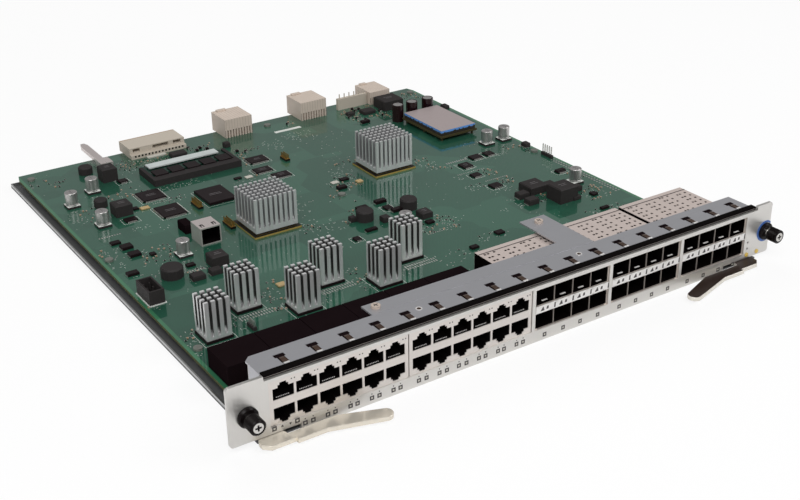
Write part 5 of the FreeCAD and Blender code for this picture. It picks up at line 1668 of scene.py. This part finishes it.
@dataclass
class PanelFace:
    """The front panel with the middle of its upper edge set lower than its two ends."""

    start: float = -184.4
    end: float = 184.4
    step: float = 0.2
    fixed: float = 36.0
    lowered: float = 37.9

    def build(self) -> None:
        """Copy the panel, cut it at both steps and lower what lies between them."""
        Bench.clear()
        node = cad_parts["front_panel"]
        panel = node.copy()
        panel.data = node.data.copy()
        panel.name = "panel_face"
        bpy.context.scene.collection.objects.link(panel)
        top = corners("front_panel")[1].z
        for place in (self.start - self.step, self.start, self.end, self.end + self.step):
            Bench.edit(panel, lambda face: True)
            bpy.ops.mesh.remove_doubles(threshold=MM / 1000)
            bpy.ops.mesh.select_all(action="SELECT")
            bpy.ops.mesh.bisect(plane_co=(place * MM, 0.0, 0.0), plane_no=(1.0, 0.0, 0.0))
            Bench.done()
        Bench.only(panel)
        bpy.ops.object.mode_set(mode="EDIT")
        bpy.ops.mesh.select_mode(type="VERT")
        bpy.ops.mesh.select_all(action="DESELECT")
        bpy.ops.object.mode_set(mode="OBJECT")
        slack = self.step / 2
        for vertex in panel.data.vertices:
            place = vertex.co / MM
            vertex.select = self.start - slack < place.x < self.end + slack and place.z > self.fixed
        bpy.ops.object.mode_set(mode="EDIT")
        share = (self.lowered - self.fixed) / (top - self.fixed)
        bpy.ops.transform.resize(value=(1.0, 1.0, share),
                                 center_override=(0.0, 0.0, self.fixed * MM))
        Bench.done()
        Bench.smooth(panel, 25.0)
        Bench.finish(panel, Finish.PANEL)
        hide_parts("front_panel")
        Bench.deliver(panel)


@dataclass
class BracketTrim:
    """The bracket's spring leaves, its rivets, dark crosses painted as the shade in the screws'
    recesses, and the foam strip.
    """

    fingers: int = 18
    first: float = 17.6
    last: float = 8.8
    root: float = 3.8
    slot: tuple[float, float] = (4.4, 6.0)
    cross: tuple[float, float] = (6.4, 3.0)
    leaf: float = 3.3
    rivets: tuple[tuple[float, float], ...] = ((-75.8, -192.4), (44.5, -191.6))

    def build(self) -> None:
        """Fit the trim to the bracket."""
        low, high = corners("top_bracket")
        step = (high.x - low.x - self.first - self.last) / (self.fingers - 1)
        places = [at(low.x + self.first + i * step, low.y + self.root, high.z)
                  for i in range(self.fingers)]
        Bench.deliver(Bench.copies("spring_leaves", self.spring(), places))
        rivet = Bench.drum("rivet", (0.0, 0.0, 0.0), 2.0, 0.25, 20)
        Bench.inset(rivet, faces_up, 0.7, -0.12)
        Bench.finish(rivet, Finish.BRIGHT, Finish.SPRING)
        Bench.paint(rivet, lambda face: faces_up(face) and face.center.xy.length < MM / 5, 1)
        marks = [Bench.copies("rivets", rivet, [at(x, y, high.z) for x, y in self.rivets])]
        # A dark cross on each screw head stands for its recess: painted shade.
        for screw_low, screw_high in solids("bracket_screws"):
            middle = (screw_low + screw_high) / 2
            for turn in (20, 110):
                bar = Bench.tile("bar", (-1.7, -0.32, 0.0), (1.7, 0.32, 0.03), 0.08, 0.01,
                                 Finish.DARK_PRINT_AND_SHADE)
                bar.data.transform(at(middle.x, middle.y, screw_high.z, turn))
                marks.append(bar)
        Bench.deliver(Bench.join("bracket_fixings", marks))
        # A black foam strip on the bracket's front edge; it also stands for the shade under that
        # edge, so it is partly painted shade.
        foam = Bench.block("foam", (low.x + 4, low.y - 1.2, high.z - 0.8),
                           (high.x - 2, low.y + 1.5, high.z + 0.35))
        Bench.soften(foam, 0.3, 2)
        Bench.deliver(Bench.finish(foam, Finish.BRICK))

    def spring(self) -> Piece:
        """One leaf: a slot and cross bar painted dark as shade, a brown leaf and a curled end
        painted bright as a highlight.
        """
        width, length = self.slot
        half, reach = width / 2, self.cross[0] / 2
        # The slot and its cross bar are flat dark tiles: painted shade in the bracket's cut-outs.
        slot = Bench.tile("slot", (-half, 0.0, -0.05), (half, length, 0.02), 0.1, 0.01,
                          Finish.BRICK)
        cross = Bench.tile("cross", (-reach, length, -0.05),
                           (reach, length + self.cross[1], 0.02), 0.1, 0.01, Finish.BRICK)
        leaf = Bench.block("leaf", (-self.leaf / 2, -0.2, 0.1), (self.leaf / 2, 1.4, 0.35))
        Bench.extrude(leaf, faces_rear, (0.0, 2.4, 0.25))
        Bench.extrude(leaf, faces_rear, (0.0, 1.6, -0.3), (0.9, 1.0, 1.0))
        Bench.extrude(leaf, faces_front, (0.0, -0.7, 0.25))
        Bench.extrude(leaf, faces_front, (0.0, -0.7, -0.3))
        Bench.finish(leaf, Finish.SPRING, Finish.BRIGHT)
        # The leaf's curled front end takes the bright finish: a painted highlight.
        Bench.paint(leaf, lambda face: face.center.y < 0.6 * MM, 1)
        return Bench.join("spring", [slot, cross, leaf])


@dataclass
class Knobs:
    """Finely ribbed black knobs round the screw heads."""

    ribs: int = 30
    rib_depth: float = 0.3
    edge: float = 0.5
    collar: float = 2.4
    bore: float = 3.05
    recess: float = 0.9

    def build(self) -> None:
        """Model each knob in place of its plain solid."""
        for side in ("left", "right"):
            low, high = corners(f"{side}_knob")
            knob = self.knob((high.x - low.x) / 2, high.y - low.y)
            knob.data.transform(at((low.x + high.x) / 2, low.y, (low.z + high.z) / 2)
                                @ TO_THE_FRONT)
            knob.name = f"{side}_ribbed_knob"
            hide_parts(f"{side}_knob")
            Bench.deliver(knob, f"{side}_thumbscrew")
        low, high = corners("blue_ring")
        radius = (high.x - low.x) / 2
        collar = Bench.drum("blue_collar", (0.0, 0.0, 0.0), radius, 0.3, 40)
        Bench.inset(collar, faces_up, self.collar, -0.1)
        Bench.finish(collar, Finish.BLUE, Finish.KNOB)
        inner = (radius - self.collar) * MM
        Bench.paint(collar, lambda face: faces_up(face) and face.center.xy.length < inner / 2, 1)
        front = corners("front_panel")[0].y
        collar.data.transform(at((low.x + high.x) / 2, front, (low.z + high.z) / 2)
                              @ TO_THE_FRONT)
        Bench.deliver(collar)

    def knob(self, radius: float, length: float) -> Piece:
        """A ribbed knob along -Z from its front face at zero, with a bore for the screw's head."""
        core = radius - self.rib_depth
        knob = Bench.drum("knob", (0.0, 0.0, -length + self.edge), core,
                          length - 2 * self.edge, 2 * self.ribs)
        faces = knob.data.polygons
        sides = [face.index for face in faces if abs(face.normal.z) < 0.5]
        sides.sort(key=lambda index: math.atan2(faces[index].center.y, faces[index].center.x))
        wanted = set(sides[::2])
        Bench.edit(knob, lambda face: face.index in wanted)
        bpy.ops.mesh.extrude_faces_move(TRANSFORM_OT_shrink_fatten={"value": self.rib_depth * MM})
        Bench.done()
        broad = 10 * MM * MM

        def front(face: Face) -> bool:
            """Whether a face is the knob's front."""
            return faces_up(face) and face.area > broad

        def back(face: Face) -> bool:
            """Whether a face is the knob's back."""
            return face.normal.z < -SQUARE_ON and face.area > broad

        share = (core - self.edge) / core
        Bench.extrude(knob, front, (0.0, 0.0, self.edge), (share, share, 1.0))
        Bench.extrude(knob, back, (0.0, 0.0, -self.edge), (share, share, 1.0))
        Bench.inset(knob, front, core - self.edge - self.bore)
        Bench.extrude(knob, front, (0.0, 0.0, -self.recess))
        return Bench.finish(knob, Finish.KNOB)


# ------------------------------------------------------------------ finishes, light and camera
def dress_nodes() -> None:
    """Give every construction node its finish, and report any node that has none."""
    undressed = set(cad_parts)
    for finish, names in NODE_FINISHES.items():
        for name in names:
            Bench.finish(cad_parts[name], finish)
            undressed.discard(name)
    log.info("nodes without a finish: %s", sorted(undressed))


@dataclass
class Studio:
    """Camera, soft lights and a white floor."""

    position: Corner = (-413.6, -690.3, 373.1)
    forward: Corner = (0.49053, 0.75021, -0.44336)
    rightward: Corner = (0.83340, -0.55252, -0.01286)
    lens: float = 54.45
    sensor: float = 36.0
    floor_size: float = 30.0
    world_level: float = 0.30

    def build(self) -> None:
        """Set up the view."""
        self.camera()
        self.floor()
        self.world()
        self.lights()
        bpy.context.scene.view_settings.view_transform = "Standard"

    def camera(self) -> None:
        """Place the camera by its position and its two directions."""
        forward = Vector(self.forward).normalized()
        rightward = Vector(self.rightward)
        rightward = (rightward - rightward.dot(forward) * forward).normalized()
        upward = rightward.cross(forward)
        turn = Matrix((rightward, upward, -forward)).transposed().to_4x4()
        data = bpy.data.cameras.new("Camera")
        data.lens = self.lens
        data.sensor_width = self.sensor
        camera = bpy.data.objects.new("Camera", data)
        camera.matrix_world = Matrix.Translation(Vector(self.position) * MM) @ turn
        bpy.context.scene.collection.objects.link(camera)
        bpy.context.scene.camera = camera

    def floor(self) -> None:
        """A white floor that keeps a soft shadow."""
        Bench.clear()
        bpy.ops.mesh.primitive_plane_add(size=self.floor_size, location=(0.0, 0.0, cad_box[0].z))
        floor = bpy.context.active_object
        floor.name = "floor"
        graph = Graph("floor_white")
        lit = graph.node("ShaderNodeBsdfDiffuse", None, Color=(0.86, 0.86, 0.86))
        glow = graph.node("ShaderNodeEmission", None, Color=(1.0, 1.0, 1.0), Strength=1.04)
        rays = graph.node("ShaderNodeLightPath", output="Is Camera Ray")
        mixed = graph.node("ShaderNodeMixShader", None, rays * 0.78, lit, glow)
        floor.data.materials.append(graph.shown(mixed))

    def world(self) -> None:
        """An even grey surround."""
        world = bpy.data.worlds.new("Surround")
        world.use_nodes = True
        background = world.node_tree.nodes["Background"]
        background.inputs["Color"].default_value = (1.0, 1.0, 1.0, 1.0)
        background.inputs["Strength"].default_value = self.world_level
        bpy.context.scene.world = world

    def lights(self) -> None:
        """Soft boxes above and in front."""
        self.softbox("key_light", (-0.9, -1.1, 1.5), 1.2, 20.5)
        self.softbox("fill_light", (1.2, -0.8, 1.3), 1.0, 9.0)
        self.softbox("back_light", (0.3, 1.3, 1.4), 1.2, 9.0, mirrored=False)

    def softbox(self, name: str, place: Corner, size: float, power: float,
                mirrored: bool = True) -> None:
        """One square area light aimed at the card's middle."""
        data = bpy.data.lights.new(name, "AREA")
        data.size = size
        data.energy = power
        light = bpy.data.objects.new(name, data)
        light.location = place
        light.visible_glossy = mirrored
        light.rotation_mode = "QUATERNION"
        light.rotation_quaternion = (-Vector(place)).to_track_quat("-Z", "Y")
        bpy.context.scene.collection.objects.link(light)


PATCHES = (
    Patch(-162.0, 177.0, 14.0, 5.0, 14, "rrp"),
    Patch(-168.4, 186.8, 5.0, 4.0, 4, "rc"),
    Patch(-163.4, 168.6, 5.0, 4.0, 4, "rc"),
    Patch(-179.3, 181.7, 6.0, 10.0, 14, "rp"),
    Patch(-179.0, 38.0, 6.0, 12.0, 16, "rpc"),
    Patch(-103.0, 178.0, 20.0, 24.0, 60),
    Patch(-80.0, 176.0, 24.0, 16.0, 45),
    Patch(-43.0, 180.0, 16.0, 12.0, 18, "tr"),
    Patch(-29.2, 183.7, 6.0, 5.0, 5, "rc"),
    Patch(-10.0, 153.0, 22.0, 7.0, 34, "rrt"),
    Patch(-24.0, 136.0, 14.0, 26.0, 36),
    Patch(-38.0, 101.0, 18.0, 14.0, 16),
    Patch(13.0, 152.0, 16.0, 24.0, 40, "ddp"),
    Patch(41.0, 158.0, 26.0, 18.0, 46, "d"),
    Patch(46.0, 188.0, 10.0, 8.0, 10, "tcr"),
    Patch(-122.0, 128.0, 40.0, 16.0, 26),
    Patch(-85.0, 119.0, 36.0, 12.0, 56, "dddp"),
    Patch(-160.0, 104.0, 22.0, 26.0, 40),
    Patch(-174.0, 99.0, 8.0, 12.0, 10, "dp"),
    Patch(-128.0, 93.0, 12.0, 10.0, 18),
    Patch(-100.0, 97.0, 20.0, 10.0, 26, "dpr"),
    Patch(-141.0, 62.5, 14.0, 6.0, 20, "d"),
    Patch(-126.5, 53.4, 8.0, 8.0, 4, "dp"),
    Patch(-171.0, 30.0, 12.0, 24.0, 26, "ddp"),
    Patch(-149.0, 16.0, 26.0, 26.0, 90),
    Patch(-177.0, 14.0, 8.0, 14.0, 14, "d"),
    Patch(-172.0, -4.0, 10.0, 12.0, 10, "dp"),
    Patch(-181.0, -52.0, 6.0, 12.0, 10),
    Patch(-160.0, -15.0, 8.0, 14.0, 10, "dp"),
    Patch(-134.0, -26.0, 20.0, 18.0, 26),
    Patch(-177.0, -97.0, 8.0, 12.0, 16),
    Patch(-178.0, -112.0, 10.0, 18.0, 26, "ddp"),
    Patch(-147.0, -100.0, 12.0, 22.0, 26, "ddpr"),
    Patch(-113.0, -86.0, 14.0, 30.0, 60, "ddprc"),
    Patch(-104.0, -66.0, 12.0, 10.0, 8, "rc"),
    Patch(-54.0, -92.0, 14.0, 34.0, 56, "ddprc"),
    Patch(-86.0, -100.0, 10.0, 16.0, 16, "dp"),
    Patch(-26.0, -96.0, 10.0, 20.0, 16, "dp"),
    Patch(14.0, -103.0, 24.0, 18.0, 20, "dpr"),
    Patch(29.0, -104.0, 12.0, 16.0, 26, "dd"),
    Patch(56.0, -90.0, 26.0, 10.0, 26, "ddpr"),
    Patch(-43.0, -8.0, 14.0, 14.0, 34),
    Patch(-33.0, -8.0, 22.0, 26.0, 40, "dd"),
    Patch(-33.0, 24.0, 16.0, 22.0, 20, "d"),
    Patch(-37.0, -46.0, 8.0, 8.0, 4, "dp"),
    Patch(20.0, 49.0, 26.0, 26.0, 90),
    Patch(28.0, 70.0, 20.0, 16.0, 30, "d"),
    Patch(41.0, 83.0, 18.0, 8.0, 16),
    Patch(-3.0, 29.0, 9.0, 10.0, 9),
    Patch(7.4, 14.9, 4.0, 4.0, 3, "rp"),
    Patch(-18.4, 34.8, 5.0, 4.0, 4, "rp"),
    Patch(-12.0, -14.0, 12.0, 10.0, 12),
    Patch(2.0, -4.0, 16.0, 14.0, 20),
    Patch(-6.0, -34.0, 16.0, 6.0, 10, "pr"),
    Patch(34.0, -52.0, 28.0, 26.0, 110),
    Patch(46.0, -56.0, 12.0, 20.0, 14, "rp"),
    Patch(93.0, 44.0, 16.0, 28.0, 60, "rcpdd"),
    Patch(105.0, 28.0, 12.0, 6.0, 8),
    Patch(123.0, 3.0, 10.0, 14.0, 26),
    Patch(97.0, -17.0, 16.0, 12.0, 34),
    Patch(124.0, -19.0, 14.0, 10.0, 24),
    Patch(98.0, 6.0, 8.0, 8.0, 9),
    Patch(110.0, -30.0, 20.0, 10.0, 12, "dp"),
    Patch(146.0, 26.0, 26.0, 6.0, 12, "dp"),
    Patch(169.0, 34.0, 10.0, 8.0, 14),
    Patch(179.0, 23.0, 10.0, 18.0, 34, "rctp"),
    Patch(174.0, -42.0, 10.0, 14.0, 16),
    Patch(126.0, -57.0, 12.0, 20.0, 26),
    Patch(104.0, -57.0, 8.0, 20.0, 12, "dp"),
    Patch(163.0, -73.0, 22.0, 24.0, 80),
    Patch(150.0, -103.0, 34.0, 10.0, 50, "ddrp"),
    Patch(89.0, -62.0, 6.0, 4.0, 5, "d"),
    Patch(112.0, 172.0, 34.0, 30.0, 150, "rctctp"),
    Patch(163.0, 190.0, 18.0, 16.0, 34, "rctp"),
    Patch(178.0, 186.0, 9.0, 16.0, 18),
    Patch(150.0, 58.0, 24.0, 8.0, 8, "dp"),
    Patch(128.0, 158.0, 14.0, 20.0, 30, "rctp"),
    Patch(0.0, -60.0, 320.0, 30.0, 24, "dp"),
    Patch(60.0, 120.0, 90.0, 70.0, 26, "dp"),
)
PADS = (
    PadField(-164.5, 62.4, 9, 1, 1.9, 1.0, 1.0, 1.6),
    PadField(-110.0, 97.0, 9, 1, 1.7, 1.0, 0.8, 1.4),
    PadField(-131.0, -96.5, 13, 2, 1.9, 3.4, 0.9, 2.3),
    PadField(-72.0, -95.5, 13, 2, 1.9, 3.4, 0.9, 2.3),
    PadField(-9.5, -97.5, 13, 2, 1.9, 3.4, 0.9, 2.3),
    PadField(-136.0, -20.0, 6, 1, 1.9, 1.0, 1.0, 3.0),
    PadField(115.0, 34.5, 10, 1, 2.0, 1.0, 1.1, 2.6),
    PadField(112.0, 10.8, 14, 1, 1.9, 1.0, 0.8, 1.3),
    PadField(120.0, -11.2, 12, 1, 1.8, 1.0, 0.8, 1.3),
    PadField(27.0, -63.5, 8, 1, 1.9, 1.0, 0.9, 1.1),
    PadField(180.4, -44.0, 2, 26, 2.8, 3.0, 1.4, 1.5),
)
STRIPS = ((40.0, 176.0, 25.0, 4.0),)
BLOCKS = (
    Block(-62.0, 174.5, 13.0, 8.0, 3.4, Finish.BLACK),
    Block(-20.7, 170.3, 5.0, 5.0, 4.0, Finish.BLACK),
    Block(-28.4, 145.4, 4.0, 4.0, 1.6),
    Block(-35.5, 101.2, 6.0, 4.0, 0.9, Finish.PALE),
    Block(-43.9, 103.7, 6.0, 3.0, 1.1),
    Block(-125.5, 92.6, 7.0, 4.0, 1.2, Finish.GOLDEN),
    Block(-131.5, 95.5, 4.0, 4.0, 1.4),
    Block(-165.8, 48.7, 7.0, 4.6, 1.6, feet=True),
    Block(-161.9, 38.1, 8.0, 6.5, 2.2, feet=True),
    Block(-161.6, 24.4, 8.0, 6.5, 2.2, feet=True),
    Block(-151.0, 18.0, 4.0, 4.0, 1.4),
    Block(-173.8, -1.8, 8.0, 5.0, 2.0, feet=True),
    Block(-116.1, 40.6, 6.8, 13.4, 6.6, Finish.BRICK),
    Block(-137.0, -12.0, 6.0, 4.0, 1.6),
    Block(-140.9, -31.8, 9.0, 7.0, 3.6, Finish.BLACK, True),
    Block(-128.0, -31.5, 8.0, 6.0, 3.6, Finish.BLACK, True),
    Block(-100.5, -71.0, 6.0, 5.0, 1.2, Finish.GOLDEN),
    Block(22.4, 54.0, 7.0, 4.0, 1.6),
    Block(12.5, 41.0, 7.5, 4.5, 2.2),
    Block(30.0, 44.0, 5.0, 4.0, 1.4, Finish.GOLDEN),
    Block(13.5, 53.0, 6.0, 4.0, 0.9, Finish.PALE),
    Block(4.5, -1.0, 9.0, 5.0, 2.4),
    Block(-11.8, -14.3, 4.6, 4.6, 3.8, Finish.BLACK, True),
    Block(7.5, -27.5, 6.0, 6.0, 4.0, Finish.BLACK),
    Block(-9.0, -35.0, 9.0, 3.4, 1.8, feet=True),
    Block(22.0, 2.0, 9.0, 4.4, 2.4, feet=True),
    Block(24.5, -17.5, 9.0, 4.4, 2.4, feet=True),
    Block(36.7, -35.6, 6.5, 6.0, 3.0, Finish.BLACK),
    Block(31.9, -48.2, 6.0, 4.4, 1.8),
    Block(62.0, -90.0, 6.5, 5.0, 1.6),
    Block(33.5, -99.0, 6.0, 4.0, 1.8),
    Block(169.0, -29.0, 8.0, 4.0, 2.0),
    Block(143.0, -45.5, 9.0, 6.0, 3.0, Finish.BLACK),
    Block(144.0, -76.0, 7.0, 5.0, 3.0, Finish.BLACK),
    Block(155.5, -63.9, 6.0, 6.0, 4.0, Finish.BLACK),
    Block(113.5, -51.0, 9.0, 7.0, 4.2, Finish.BLACK, True),
    Block(112.5, -63.5, 9.0, 7.0, 4.2, Finish.BLACK, True),
    Block(160.4, -77.5, 5.0, 5.0, 1.6),
    Block(150.0, -101.0, 7.0, 3.0, 1.8),
    Block(180.6, 28.0, 5.0, 6.0, 3.6, Finish.BLACK, True),
    Block(180.5, 142.0, 5.0, 7.0, 3.2, Finish.BLACK),
    Block(103.0, 152.0, 8.0, 4.0, 2.4, feet=True),
    Block(118.0, 172.0, 12.0, 9.0, 3.0, Finish.BLACK),
    Block(102.0, 175.0, 7.0, 5.0, 3.0, Finish.BLACK, True),
)
PIN_ROWS = ((181.2, -3.6, 5, 2.54, 9.5), (-141.5, -113.0, 4, 2.2, 6.5))


def main() -> None:
    """Dress the card and set up the studio."""
    logging.basicConfig(level=logging.INFO, format="%(name)s %(message)s")
    dress_nodes()
    ChipLegs().build()
    Blocks(BLOCKS).build()
    OpenJack().build()
    MemoryDressing().build()
    ConnectorFace().build()
    HeaderFoot().build()
    PinRows(PIN_ROWS).build()
    TopMarks().build()
    BoardPrint(PADS, strips=STRIPS).build()
    Cans().build()
    RoundInductors().build()
    PortMarks().build()
    PortContacts().build()
    CageDetails().build()
    PanelFace().build()
    BracketTrim().build()
    Knobs().build()
    SmallParts(PATCHES, BLOCKS).build()
    Studio().build()


if __name__ == "__main__":
    main()
